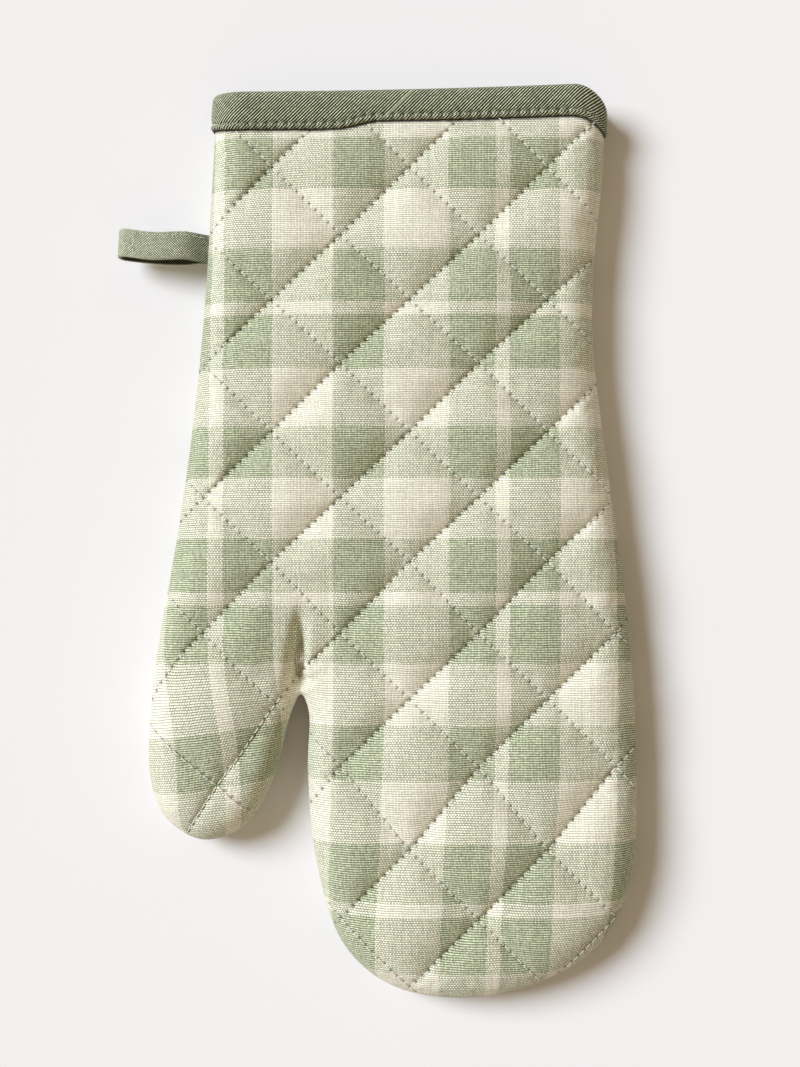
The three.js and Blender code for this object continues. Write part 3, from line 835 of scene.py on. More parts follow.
# The binding's colour is the loop's cloth at about half the brightness: painted shade for the
# shadow between its tight ribs.
SHADED_BINDING_CLOTH = plain_cloth(
    "green binding with painted shade", (0.34, 0.365, 0.24), 0.88, (0.0, 2.1), 45, 0.5, 0.85, JOIN_PLACE
)
LOOP_CLOTH = plain_cloth(
    "green loop", (0.66, 0.70, 0.50), 0.64, (0.02, 2.15), -45, 0.3, 0.2, light=loop_light
)
print("nodes in the binding's cloth:", len(SHADED_BINDING_CLOTH.node_tree.nodes))

# %% [markdown]
# ## Thread
#
# Sewing thread is a few plies twisted together, with grooves between them that wind round it,
# and painted shade darkens the grooves into fine lines. They are a sine of the place along a
# stitch and round it, two numbers that the mesh of each stitch will carry.

# %% Thread
THREAD_COLOUR = (0.93, 0.91, 0.79)
BINDING_THREAD_COLOUR = (0.66, 0.68, 0.53)
PLIES_TURN = 2.2  # turns of the twist to a stitch
PLY_GROOVE_PAINTED_SHADE, PLY_RELIEF = 0.8, 0.05


def thread_finish(name, colour):
    """Twisted thread: pale plies with painted shade in the grooves winding between them."""
    finish = Finish(name)
    twist = finish.node("ShaderNodeAttribute", settings={"attribute_name": "twist"}, output=1)
    along, around = finish.parts(twist)[:2]
    ply = ((along * PLIES_TURN + around) * 2 * math.pi).math("SINE") * 0.5 + 0.5
    shade = mix(PLY_GROOVE_PAINTED_SHADE, 1, ply.ramped(0.1, 0.7))
    relief = ply * PLY_RELIEF
    return finish.close(finish.scaled(colour, shade), relief, roughness=0.6, sheen=0.3)


THREAD = thread_finish("cream thread", THREAD_COLOUR)
BINDING_THREAD = thread_finish("green thread", BINDING_THREAD_COLOUR)
print("nodes in the thread:", len(THREAD.node_tree.nodes))

# %% [markdown]
# ## A mesh that follows the stitches
#
# A dent is only crisp when edges of the mesh run along it. So the middle of a panel is a
# lattice laid along the two families of lines, and the rim is a set of rings that run with
# the seam. A Delaunay triangulation fills the strip where the two meet, and pairs of its
# triangles are joined back into quads, which subdivide and bend more evenly.
#
# Each point also carries its place on the flat cloth, measured round the curve of the rim, so
# that the checks wrap over the edge without stretching.

# %% Finding the way about the seam
def search_tree(points):
    """A tree that finds the nearest of some points quickly."""
    tree = kdtree.KDTree(len(points))
    for index, (x, y) in enumerate(points):
        tree.insert((x, y, 0), index)
    tree.balance()
    return tree


def nearest_on_seam(points):
    """The nearest station of the fine seam, and how far away it is."""
    found = [seam_tree.find((x, y, 0)) for x, y in points]
    return np.array([f[1] for f in found]), np.array([f[2] for f in found])


def inside(polygon, points):
    """True for the points that lie inside a closed polygon."""
    result = np.zeros(len(points), bool)
    for (x0, y0), (x1, y1) in zip(polygon, np.roll(polygon, -1, axis=0)):
        if y0 == y1:
            continue
        level = (y0 > points[:, 1]) != (y1 > points[:, 1])
        crossing = x0 + (x1 - x0) * (points[:, 1] - y0) / (y1 - y0)
        result ^= level & (points[:, 0] < crossing)
    return result


seam_tree = search_tree(fine_seam)
print("palm's middle is", round(nearest_on_seam([(20, 0)])[1][0]), "mm from the seam")

# %% Rings round the rim
OUTER_TURNS = [0, 5, 10, 16, 23, 31, 39, 47, 55, 63, 70]  # degrees turned at each ring
INNER_TURNS = [0, 30, 60]
SEAM_TUCK, TUCK_HEIGHT = 0.9, 2.4  # the rim pulls in at the seam
SHARPEST_TURN = 0.14  # radians from one station to the next

turns = np.radians(np.linspace(0, 90, 181))
arc_step = np.hypot(EDGE_RADIUS * np.sin(turns), RISE["front"] * np.cos(turns))
arc_run = np.cumsum(arc_step) * (turns[1] - turns[0])
arc_to_flat = arc_run[-1] - arc_run


def seam_stations(step):
    """Indices into the fine seam, closer together where it turns."""
    turn = np.abs(np.diff(np.unwrap(np.arctan2(heading[:, 1], heading[:, 0]))))
    cost = seam_length / FINE_STEPS / step + turn / SHARPEST_TURN
    run = np.concatenate([[0], np.cumsum(cost)])
    marks = np.linspace(0, run[-1], int(run[-1]) + 1)
    return np.unique(np.searchsorted(run, marks - 1e-9).clip(0, FINE_STEPS))


def tucked(side, turn):
    """How far the rim is pulled in, most at the seam."""
    height = RISE[side] * math.sin(turn)
    return SEAM_TUCK * max(0, 1 - height / TUCK_HEIGHT) ** 2


def rim_rings(side, wall, ring_turns, stations):
    """Each ring's points in plan, distance from the seam, and place on the flat cloth."""
    seam, inward = fine_seam[stations], fine_inward[stations]
    plan, reach, cloth = [], [], []
    for turn in np.radians(ring_turns):
        turned = 1 - math.cos(turn)
        distance = wall + (EDGE_RADIUS - wall) * turned
        tuck = 0 if wall else tucked(side, turn)
        points = seam + inward * (distance + tuck)
        points[:, 1] += cuff_shift(points[:, 0], points[:, 1], turned)
        plan.append(points)
        reach.append(np.full(len(points), distance))
        flat = EDGE_RADIUS - np.interp(turn, turns, arc_to_flat)
        cloth.append(cloth_place(points) + inward * (flat - distance - tuck))
    return plan, reach, cloth


print("cloth round the rim:", round(arc_run[-1], 1), "mm")

# %% Points along the stitch lines
OUTER_CELLS, INNER_CELLS = 11, 5  # along a diamond's side
BESIDE_LINE = (0.018, 0.05)  # closer rows of points on both sides of a line
LATTICE_SPAN = 9


def lattice_points(cells, beside):
    """Points along both families of lines, and rows close beside the lines."""
    cell = [k / cells for k in range(cells)] + [*beside] + [1 - share for share in beside]
    whole = np.arange(-LATTICE_SPAN, LATTICE_SPAN)
    marks = np.sort((whole[:, None] + np.array(cell)).ravel())
    rising, falling = (grid.ravel() for grid in np.meshgrid(marks, marks))
    return quilt_point(rising, falling)


print("lattice before it is cut:", len(lattice_points(OUTER_CELLS, BESIDE_LINE)), "points")

# %% Points of the middle
CLEAR_OF_RIM = 0.55  # of a cell
FINE_LOW, FINE_HIGH = (-38, -62), (-16, -14)  # the cloth above the notch gets twice the points
FOLD_ROWS = (-2.6, -1.7, -0.95, -0.35, 0.2, 0.75, 1.3, 2.1)  # to both sides of the fold
FOLD_STEP = 1.2
ROWS_CENTRE, ROWS_ASIDE, ROWS_BEYOND = 0.05, 2.7, 0.6  # other points keep clear of those rows


def above_notch(points):
    """True for points of the plan that lie in the cloth above the notch."""
    return ((points > FINE_LOW) & (points < FINE_HIGH)).all(axis=1)


def with_fold_rows(lattice):
    """The points with rows of their own close along both sides of the fold."""
    x, y = lattice.T
    beside = np.abs(x - FOLD_FROM[0] - ROWS_CENTRE) < ROWS_ASIDE
    beside &= (y > FOLD_FROM[1] - ROWS_BEYOND) & (y < FOLD_TO[1] + ROWS_BEYOND)
    y = np.arange(FOLD_FROM[1], FOLD_TO[1], FOLD_STEP)
    x = np.interp(y, (FOLD_FROM[1], FOLD_TO[1]), (FOLD_FROM[0], FOLD_TO[0]))
    rows = [np.column_stack([x + aside, y]) for aside in FOLD_ROWS]
    return np.vstack([lattice[~beside], *rows])


def middle_points(side, wall, cells, polygon):
    """The lattice's points inside the innermost ring, and clear of it."""
    lattice = lattice_points(cells, () if wall else BESIDE_LINE)
    if side == "front" and not wall:
        finer = lattice_points(cells * 2, BESIDE_LINE)
        lattice = np.vstack([lattice[~above_notch(lattice)], finer[above_notch(finer)]])
        lattice = with_fold_rows(lattice)
    lattice = lattice[inside(polygon, lattice)]
    edge_tree = search_tree(polygon)
    clear = np.array([edge_tree.find((x, y, 0))[2] for x, y in lattice])
    return lattice[clear > SIDE_LENGTH / cells * CLEAR_OF_RIM]


print("rows of points along the fold:", len(FOLD_ROWS))

# %% Filling the middle
OUTER_STEP, INNER_STEP = 2.0, 5.0  # along the seam and the cuff
SAME_PLACE = 1e-6


def cuff_row(step):
    """The row of points that closes a panel along the cuff, from right to left."""
    left, right = fine_seam[0][0], fine_seam[-1][0]
    x = np.linspace(right - EDGE_RADIUS, left + EDGE_RADIUS, int((right - left) / step))
    return np.column_stack([x, CUFF_Y + cuff_shift(x, CUFF_Y, 1)])


def filled(polygon, lattice):
    """Triangles between a polygon and the points inside it."""
    corners = [Vector(point) for point in np.vstack([polygon, lattice])]
    ids = list(range(len(polygon)))
    kept, _, triangles = geometry.delaunay_2d_cdt(corners, [], [ids], 0, SAME_PLACE, False)[:3]
    kept, triangles = np.array(kept), np.array(triangles)
    triangles = triangles[inside(polygon, kept[triangles].mean(axis=1))]
    print("points kept:", len(kept) == len(corners), "triangles:", len(triangles))
    return triangles


def middle_cloth(lattice, near, reach):
    """Places on the flat cloth, which is longer than its plan where the rim turns over."""
    turned = turned_share(reach, 0)
    over = np.interp(np.arccos(1 - turned), turns, arc_to_flat)
    away = (lattice - fine_seam[near]) / reach[:, None]
    shift = np.where(turned < 1, over - (EDGE_RADIUS - reach), 0)
    return cloth_place(lattice) - away * shift[:, None]


print("points of the outer face's cuff:", len(cuff_row(OUTER_STEP)))

# %% One face of a panel
CUFF_START, CUFF_SHARE, RING_SHARE = 1.2, 0.6, 0.01  # of the way round, which is 2 long


def face_border(stations, rings, across):
    """The points of a face's border, each with how far round it is, out of 2."""
    count = len(stations)
    ends = [(ring * count + count - 1, 1 + ring * RING_SHARE) for ring in range(1, rings)]
    for i in range(across):
        ends.append((rings * count + i, CUFF_START + CUFF_SHARE * (i + 1) / across))
    ends += [(ring * count, 2 - ring * RING_SHARE) for ring in range(rings - 1, 0, -1)]
    return [(i, station / FINE_STEPS) for i, station in enumerate(stations)] + ends


def panel_face(side, wall, ring_turns, step, cells):
    """Points, faces and border of a panel's outer or inner face."""
    stations = seam_stations(step)
    count, rings = len(stations), len(ring_turns)
    plan, reach, cloth = rim_rings(side, wall, ring_turns, stations)
    row = cuff_row(step)
    polygon = np.vstack([plan[-1], row])
    lattice = middle_points(side, wall, cells, polygon)
    faces = (filled(polygon, lattice) + (rings - 1) * count).tolist()
    for ring in range(rings - 1):
        for i in range(count - 1):
            a = ring * count + i
            faces.append([a, a + 1, a + 1 + count, a + count])
    near, lattice_reach = nearest_on_seam(lattice)
    plan = np.vstack([*plan, row, lattice])
    reach = np.concatenate([*reach, nearest_on_seam(row)[1], lattice_reach])
    cloth = np.vstack([*cloth, cloth_place(row), middle_cloth(lattice, near, lattice_reach)])
    points = np.column_stack([plan, panel_z(side, wall, plan[:, 0], plan[:, 1], reach)])
    border = face_border(stations, rings, len(row))
    return {"points": points, "cloth": cloth, "reach": reach, "faces": faces, "border": border}


front_outer = panel_face("front", 0, OUTER_TURNS, OUTER_STEP, OUTER_CELLS)
print("front panel's outer face:", len(front_outer["points"]), "points")

# %% A mesh with what its finish needs
def mesh_from(name, points, faces, cloth, reach):
    """A mesh in the frame, with a UV map in metres of flat cloth and its place in the quilting."""
    mesh = bpy.data.meshes.new(name)
    mesh.from_pydata(in_frame(points).tolist(), [], faces)
    layer = mesh.uv_layers.new(name="cloth")
    corner_points = np.zeros(len(mesh.loops), int)
    mesh.loops.foreach_get("vertex_index", corner_points)
    layer.uv.foreach_set("vector", (cloth[corner_points] * MM).ravel())
    rising, falling = quilt_place(points[:, 0], points[:, 1])
    place = mesh.attributes.new("quilt", "FLOAT_VECTOR", "POINT")
    place.data.foreach_set("vector", np.column_stack([rising, falling, reach]).ravel())
    below = mesh.attributes.new("below", "FLOAT", "POINT")
    turned = turned_share(reach, 0)
    below.data.foreach_set("value", below_binding(points[:, 0], points[:, 1], turned))
    return mesh


def new_object(name, mesh):
    made = bpy.data.objects.new(name, mesh)
    bpy.context.scene.collection.objects.link(made)
    return made


print("its border has", len(front_outer["border"]), "points")

# %% [markdown]
# ## Puffing the cloth
#
# The heights so far are a drawing of pillows. Real ones are cloth under tension: flat on top,
# tight across a corner, slack and wrinkled beside a stitch. So the outer face is handed to
# Blender's cloth solver, pinned along every stitch line, along the seam and under the binding.
# The solver lets the cloth grow a little and blows gently from below. It is tuned for things
# about a metre across, so the panel is scaled up for it and back down afterwards. How far a
# point may move is capped, and fades to nothing at the rim, so the outline stays true.

# %% The cloth solver
SOLVER_SCALE = 0.02  # solver units to a millimetre
SOLVER_FRAMES = 22
CLOTH_GROWTH = 0.022
CLOTH_SETTINGS = {
    "quality": 6, "mass": 0.3, "tension_stiffness": 12, "compression_stiffness": 12,
    "shear_stiffness": 4, "bending_stiffness": 0.05, "shrink_min": -CLOTH_GROWTH,
    "vertex_group_mass": "pins", "use_pressure": True,
}


def blown(points, faces, pins, pressure):
    """The points after the solver has let the cloth grow and blown from below."""
    mesh = bpy.data.meshes.new("cloth")
    mesh.from_pydata((points * SOLVER_SCALE).tolist(), [], faces)
    cloth = new_object("cloth", mesh)
    group = cloth.vertex_groups.new(name="pins")
    for index, weight in enumerate(pins):
        group.add([index], weight, "REPLACE")
    solver = cloth.modifiers.new("cloth", "CLOTH")
    for name, value in CLOTH_SETTINGS.items():
        setattr(solver.settings, name, value)
    solver.settings.uniform_pressure_force = pressure
    solver.settings.effector_weights.gravity = 0
    solver.collision_settings.use_collision = False
    solver.point_cache.frame_end = SOLVER_FRAMES
    for step in range(1, SOLVER_FRAMES + 1):
        bpy.context.scene.frame_set(step)
    settled = cloth.evaluated_get(bpy.context.evaluated_depsgraph_get()).data
    moved = np.zeros(len(points) * 3)
    settled.vertices.foreach_get("co", moved)
    bpy.data.objects.remove(cloth)
    bpy.context.scene.frame_set(1)
    return moved.reshape(-1, 3) / SOLVER_SCALE


print("the solver runs for", SOLVER_FRAMES, "frames")

# %% Pins at the stitches
BLOW = {"front": 2.6, "back": 1.6}
MOST_MOVE = 1.8
PIN_REACH, PIN_HOLD = 0.5, 1.6  # from a stitch line, and how firmly close to it
UNDER_BINDING = 1.0  # the binding holds the cloth down to here below its edge
SETTLED_RIM, HELD_RIM = 9.0, 1.0


def line_distance(place):
    """Millimetres to the nearest line of a family."""
    return np.abs(place - np.round(place)) * SIDE_LENGTH


def puffed_by_cloth(side, face):
    """The face's points after a cloth simulation, pinned at its stitches."""
    points, reach = face["points"], face["reach"]
    x, y = points[:, 0], points[:, 1]
    rising, falling = quilt_place(x, y)
    nearest = np.minimum(line_distance(rising), line_distance(falling))
    pins = np.clip(PIN_HOLD - nearest / PIN_REACH, 0, 1)
    hidden = below_cuff(x, y, 1) < binding_depth(x) + UNDER_BINDING
    pins[(reach < HELD_RIM) | hidden | above_notch(points[:, :2])] = 1
    faces = [f[::SIDE[side]] for f in face["faces"]]
    move = blown(points, faces, pins, BLOW[side]) - points
    length = np.linalg.norm(move, axis=1)
    print(side, "cloth moved", np.round(np.percentile(length, [50, 90, 99, 100]), 2), "mm")
    limit = MOST_MOVE * smooth(reach / SETTLED_RIM)
    move *= (np.minimum(length, limit) / np.maximum(length, 1e-9))[:, None]
    settled_points = points + move
    settled_points[:, 2] = np.maximum(settled_points[:, 2], 0)
    return settled_points


front_outer["points"] = puffed_by_cloth("front", front_outer)

# %% [markdown]
# ## Closing a panel into one soft solid
#
# A panel is outer cloth, batting and lining quilted together, so it has an outer face, an
# inner face and an edge. The inner face can be far coarser. The two borders are zipped
# together by walking along both, always a step on the one whose next point comes first.
#
# After the subdivision, the surface has a point at every needle hole and one between each two,
# so the small pinch of each stitch can be pressed in point by point.

# %% Pinches at the needle holes
PINCH_DEPTH, PINCH_WIDTH = (0.7, 0.2), 1.0  # on the rising and on the falling lines
PINCH_FROM_SEAM = 5.0
SCALLOP, SCALLOP_WIDTH = 0.5, 1.0  # between two holes the cloth bulges over the rising line


def pinched(mesh, side):
    """Presses the outer face in at every needle hole."""
    count = len(mesh.vertices)
    place, points = np.zeros(count * 3), np.zeros(count * 3)
    mesh.attributes["quilt"].data.foreach_get("vector", place)
    mesh.vertices.foreach_get("co", points)
    place, points = place.reshape(-1, 3), points.reshape(-1, 3)
    x, y = (points[:, :2] / MM - DRAWING_AT[:2]).T
    depth = np.zeros(count)
    lines = place[:, 0], place[:, 1]
    for line, along, deepest in zip(lines, lines[::-1], PINCH_DEPTH):
        hole = 0.5 + 0.5 * np.cos(2 * np.pi * STITCHES_PER_SIDE * along)
        depth = np.maximum(depth, deepest * bell(line_distance(line), PINCH_WIDTH) * hole)
    outer = np.zeros(count, bool)
    for polygon in mesh.polygons:
        if polygon.material_index == 0:
            outer[list(polygon.vertices)] = True
    shown = smooth(place[:, 2] / PINCH_FROM_SEAM) * past_binding(x, y, 1) * outer * MM
    points[:, 2] = np.maximum(points[:, 2] - SIDE[side] * depth * shown, 0)
    between = 0.5 - 0.5 * np.cos(2 * np.pi * STITCHES_PER_SIDE * place[:, 1])
    bulge = SCALLOP * bell(line_distance(place[:, 0]), SCALLOP_WIDTH) * between * shown
    points[:, :2] += bulge[:, None] * np.array([-1, 1]) / math.sqrt(2)
    mesh.vertices.foreach_set("co", points.ravel())


print("pinches are up to", max(PINCH_DEPTH), "mm deep")

# %% Zip two borders together
def zip_borders(outer, inner):
    """Triangles between two closed borders, each a list of (point, how far round)."""
    faces = []
    i = j = 0
    while i < len(outer) or j < len(inner):
        next_outer = outer[(i + 1) % len(outer)][1] + (i + 1 >= len(outer)) * 2
        next_inner = inner[(j + 1) % len(inner)][1] + (j + 1 >= len(inner)) * 2
        a, b = outer[i % len(outer)][0], inner[j % len(inner)][0]
        if j >= len(inner) or (i < len(outer) and next_outer <= next_inner):
            faces.append([outer[(i + 1) % len(outer)][0], a, b])
            i += 1
        else:
            faces.append([a, b, inner[(j + 1) % len(inner)][0]])
            j += 1
    return faces


front_inner = panel_face("front", RIM_WALL, INNER_TURNS, INNER_STEP, INNER_CELLS)
print("front panel's inner face:", len(front_inner["points"]), "points")

# %% Close a panel
def joined_quads(mesh):
    """Joins pairs of triangles into quads, and returns the number of open edges."""
    work = bmesh.new()
    work.from_mesh(mesh)
    triangles = [face for face in work.faces if len(face.verts) == 3]
    bmesh.ops.join_triangles(
        work, faces=triangles, angle_face_threshold=1.0, angle_shape_threshold=0.9
    )
    work.to_mesh(mesh)
    open_edges = sum(not edge.is_manifold for edge in work.edges)
    work.free()
    return open_edges


def closed_panel(side, outer, inner, name):
    """One object from an outer and an inner face, smoothed once and pinched at its holes."""
    shift = len(outer["points"])
    faces = outer["faces"] + [[corner + shift for corner in face][::-1] for face in inner["faces"]]
    inner_border = [(corner + shift, place) for corner, place in inner["border"]]
    faces += zip_borders(outer["border"], inner_border)
    if side == "back":
        faces = [face[::-1] for face in faces]
    points = np.vstack([outer["points"], inner["points"]])
    cloth = np.vstack([outer["cloth"], inner["cloth"]])
    reach = np.concatenate([outer["reach"], inner["reach"]])
    mesh = mesh_from(name, points, faces, cloth, reach)
    mesh.materials.append(CHECKED)
    mesh.materials.append(LINING)
    for polygon in mesh.polygons[len(outer["faces"]):]:
        polygon.material_index = 1
    open_edges = joined_quads(mesh)
    made = new_object(name, mesh)
    smoothing = made.modifiers.new("subdivide", "SUBSURF")
    smoothing.levels = smoothing.render_levels = 1
    made.data = bpy.data.meshes.new_from_object(
        made.evaluated_get(bpy.context.evaluated_depsgraph_get())
    )
    made.modifiers.clear()
    made.data.name = name
    pinched(made.data, side)
    made.data.shade_smooth()
    triangles = sum(len(face.vertices) - 2 for face in made.data.polygons)
    print(name, "open edges:", open_edges, "triangles:", triangles)
    return made


front = closed_panel("front", front_outer, front_inner, "front_quilt")

# %% The back panel in the same way
back_outer = panel_face("back", 0, OUTER_TURNS, OUTER_STEP, OUTER_CELLS)
back_outer["points"] = puffed_by_cloth("back", back_outer)
back_inner = panel_face("back", RIM_WALL, INNER_TURNS, INNER_STEP, INNER_CELLS)
back = closed_panel("back", back_outer, back_inner, "back_quilt")
print("both panels:", len(front.data.vertices) + len(back.data.vertices), "points")

# %% [markdown]
# ## The binding
#
# A strip of green cloth is folded over the open cuff and stitched through all layers near its
# lower edge. It is a closed band, so it is built as a section carried round the cuff. The
# section is a folded strip: puffed a little on the outside, rounded over the top, pressed in
# along the stitches, and thick where the raw edge is turned under. The dent along the
# stitches comes and goes with each stitch, which gives the lower edge its row of small bumps.

# %% Section of the binding
BINDING_GAP, FOLD_GAP = 0.3, 0.5
STITCH_UP = 1.5  # height of the stitch line over the binding's lower edge
STITCH_DENT, EDGE_BUMP = 1.3, 0.6


def binding_section(depth, pinch):
    """Points (outside the panel's face, below the cuff's edge) round the folded strip."""
    line = depth - STITCH_UP
    dent, bump = STITCH_DENT * pinch, EDGE_BUMP * (1 - pinch)
    outside = [
        (0.3, depth - 0.5), (0.35, depth), (0.7, depth + 0.25 + bump * 0.4),
        (1.2, depth + 0.2 + bump * 0.4),
        (1.6 + bump, depth - 0.3), (1.55 + bump, depth - 0.9), (1.5 - dent * 0.5, line + 0.4),
        (1.4 - dent, line), (1.45 - dent * 0.6, line - 0.4), (1.65, line - 0.9),
        (1.8, line - 1.6), (1.95, line - 2.6), (2.0, line * 0.6), (2.0, line * 0.45),
        (1.95, line * 0.3), (1.9, 1.3), (1.8, 0.5), (1.65, -0.3), (1.4, -1.0), (1.0, -1.6),
        (0.4, -2.0),
    ]
    inside = [(-RIM_WALL - out * 0.9, below) for out, below in outside[::-1]]
    lining = [(-RIM_WALL - BINDING_GAP, depth * 0.5), (-RIM_WALL - BINDING_GAP, -FOLD_GAP)]
    lining += [(BINDING_GAP, -FOLD_GAP), (BINDING_GAP, depth * 0.5)]
    return outside + [(-RIM_WALL / 2, -2.15)] + inside + lining


print("points round the binding's section:", len(binding_section(BINDING_DEPTH[0], 1)))

# %% A point on the cuff
def side_x(at_start, y):
    """Where the seam is at a height of the drawing, at its start or at its end."""
    half = fine_seam if at_start else fine_seam[::-1]
    return half[np.argmax(half[:, 1] <= min(y, CUFF_Y))][0]


def cuff_point(side, edge, turn, share, out, below):
    """A point out from the panels' face and below the cuff, at one station round the cuff."""
    y = CUFF_Y - below
    left, right = side_x(True, y), side_x(False, y)
    inset = EDGE_RADIUS - (EDGE_RADIUS + out) * math.cos(turn)
    x = mix(left + EDGE_RADIUS, right - EDGE_RADIUS, share)
    if edge == "start":
        x = left + inset
    if edge == "end":
        x = right - inset
    rise = RISE["front"] if side > 0 else RISE["back"]
    z = SEAM_HEIGHT + side * (FIT_GAP / 2 + (rise + out) * math.sin(turn))
    shift = cuff_shift(x, min(y, CUFF_Y), 1 - math.cos(turn), BINDING_CORNER_DROP)
    return x, y + float(shift), max(z, 0)


print("cuff's front middle in mm:", np.round(cuff_point(1, "", math.pi / 2, 0.5, 0, 0), 1))

# %% Stations round the cuff
EDGE_STITCH = 3.45  # length of one stitch
CORNER_STEPS, ACROSS_STEPS = 16, 270
MEASURED_AT = (1.5, 6)  # its length is measured this far out and below the cuff's edge


def cuff_stations():
    """Side, edge, turn and share of every station: over the front, and back under the mitt."""
    quarter = [math.radians(90 * i / CORNER_STEPS) for i in range(1, CORNER_STEPS + 1)]
    flat = [(i + 0.5) / ACROSS_STEPS for i in range(ACROSS_STEPS)]

    def across(side):
        start = [(side, "start", turn, 0) for turn in quarter]
        end = [(side, "end", turn, 1) for turn in quarter[::-1]]
        return start + [(side, "", math.pi / 2, share) for share in flat] + end

    turns = [(1, "start", 0, 0)] + across(1) + [(1, "end", 0, 1)]
    return turns + across(-1)[::-1]


def binding_depth_at(station):
    full = float(binding_depth(cuff_point(*station, 0, 0)[0]))
    return full * mix(SIDE_DEPTH[station[1]], 1, math.sin(station[2]))


stations = cuff_stations()
middles = np.array([cuff_point(*station, *MEASURED_AT) for station in stations])
steps = np.linalg.norm(np.diff(middles, axis=0, append=middles[:1]), axis=1)
cuff_run = np.concatenate([[0], np.cumsum(steps)])
cuff_length = cuff_run[-1]
edge_stitches = round(cuff_length / EDGE_STITCH)
print("cuff is", round(cuff_length), "mm round, with", edge_stitches, "stitches")

# %% Make the binding
SIDE_THIN = 0.55  # pulled tight, it is thinner where it turns round the side seams
SIDE_PINCH, MEAN_PINCH = 0.3, 0.5


def skin_run(section):
    """Lengths round a section, from its top fold."""
    section = np.array(section + section[:1])
    run = np.concatenate([[0], np.cumsum(np.linalg.norm(np.diff(section, axis=0), axis=1))])
    return run - run[section[:, 1].argmin()]


def binding_mesh():
    """The section carried round the cuff, with lengths of flat cloth in its UV map."""
    rings = []
    for station, along in zip(stations, cuff_run):
        pinch = (0.5 + 0.5 * math.cos(2 * math.pi * along / cuff_length * edge_stitches)) ** 2
        on_top = math.sin(station[2])
        section = binding_section(binding_depth_at(station), mix(SIDE_PINCH, pinch, on_top))
        thin = mix(SIDE_THIN, 1, on_top)
        rings.append([cuff_point(*station, out * thin, below) for out, below in section])
    rings = np.array(rings)
    count = rings.shape[1]
    depths = [binding_depth_at(station) for station in stations]
    skins = [skin_run(binding_section(depth, MEAN_PINCH)) for depth in depths]
    skins.append(skins[0])
    faces, places = [], []
    for i in range(len(rings)):
        here, there = i * count, (i + 1) % len(rings) * count
        for k in range(count):
            after = (k + 1) % count
            faces.append([here + k, there + k, there + after, here + after])
            places += [(cuff_run[i], skins[i][k]), (cuff_run[i + 1], skins[i + 1][k])]
            places += [(cuff_run[i + 1], skins[i + 1][k + 1]), (cuff_run[i], skins[i][k + 1])]
    mesh = bpy.data.meshes.new("cuff_edge")
    mesh.from_pydata(in_frame(rings.reshape(-1, 3)).tolist(), [], faces)
    layer = mesh.uv_layers.new(name="cloth")
    layer.uv.foreach_set("vector", (np.array(places) * MM).ravel())
    mesh.materials.append(SHADED_BINDING_CLOTH)
    mesh.shade_smooth()
    return mesh


binding = new_object("cuff_edge", binding_mesh())
print("binding:", 2 * len(binding.data.polygons), "triangles")

# %% [markdown]
# ## Trees of Geometry Nodes
#
# Two things here follow a path or repeat hundreds of times: the loop's strip and the stitches.
# Both are jobs for Geometry Nodes. A small class holds what both need. It adds named inputs
# and keeps their identifiers, adds nodes, ends the tree, and turns its result into a plain
# mesh, because only plain meshes are handed on.

# %% Helpers for the trees
class Tree:
    """A Geometry Nodes tree whose inputs are kept by name."""

    def __init__(self, name):
        self.tree = bpy.data.node_groups.new(name, "GeometryNodeTree")
        self.ids = {}
        self.tree.interface.new_socket(
            "Geometry", in_out="OUTPUT", socket_type="NodeSocketGeometry"
        )
        self.take("Geometry", "NodeSocketGeometry")
        self.given = add_node(self.tree, "NodeGroupInput")

    def take(self, name, kind):
        socket = self.tree.interface.new_socket(name, in_out="INPUT", socket_type=kind)
        self.ids[name] = socket.identifier

    def inputs(self, **kinds):
        for name, kind in kinds.items():
            self.take(name, "NodeSocket" + kind)

    def value(self, name):
        return self.given.outputs[name]

    def add(self, kind, settings=None, output=0, numbered=None, **named):
        """Adds a node. Sockets are given by number, or by name with _ for a space."""
        sockets = {name.replace("_", " "): value for name, value in named.items()}
        return add_node(self.tree, kind, {**(numbered or {}), **sockets}, settings).outputs[output]

    def maths(self, kind, operation, first, second):
        """A Math or Vector Math node on two values."""
        return self.add(kind, {"operation": operation}, numbered={0: first, 1: second})

    def attribute(self, name, kind="FLOAT_VECTOR"):
        return self.add("GeometryNodeInputNamedAttribute", {"data_type": kind}, Name=name)

    def store(self, geometry, name, value, kind, domain):
        settings = {"data_type": kind, "domain": domain}
        return self.add(
            "GeometryNodeStoreNamedAttribute", settings, Geometry=geometry, Name=name, Value=value
        )

    def finish(self, geometry, material):
        real = self.add("GeometryNodeRealizeInstances", Geometry=geometry)
        smooth_shaded = self.add("GeometryNodeSetShadeSmooth", Geometry=real)
        dressed = self.add("GeometryNodeSetMaterial", Geometry=smooth_shaded, Material=material)
        add_node(self.tree, "NodeGroupOutput", {0: dressed})

    def made_plain(self, name, source, **values):
        """The tree's result on a mesh, as a plain mesh in an object of its own."""
        carrier = new_object("carrier", source)
        modifier = carrier.modifiers.new("nodes", "NODES")
        modifier.node_group = self.tree
        for key, value in values.items():
            modifier[self.ids[key]] = value
        result = carrier.evaluated_get(bpy.context.evaluated_depsgraph_get())
        mesh = bpy.data.meshes.new_from_object(result)
        carrier.modifiers.remove(modifier)
        bpy.data.objects.remove(carrier)
        mesh.name = name
        made = new_object(name, mesh)
        triangles = sum(len(face.vertices) - 2 for face in mesh.polygons)
        print(name, "has", triangles, "triangles")
        return made


print("a tree knows", [name for name in vars(Tree) if "__" not in name])

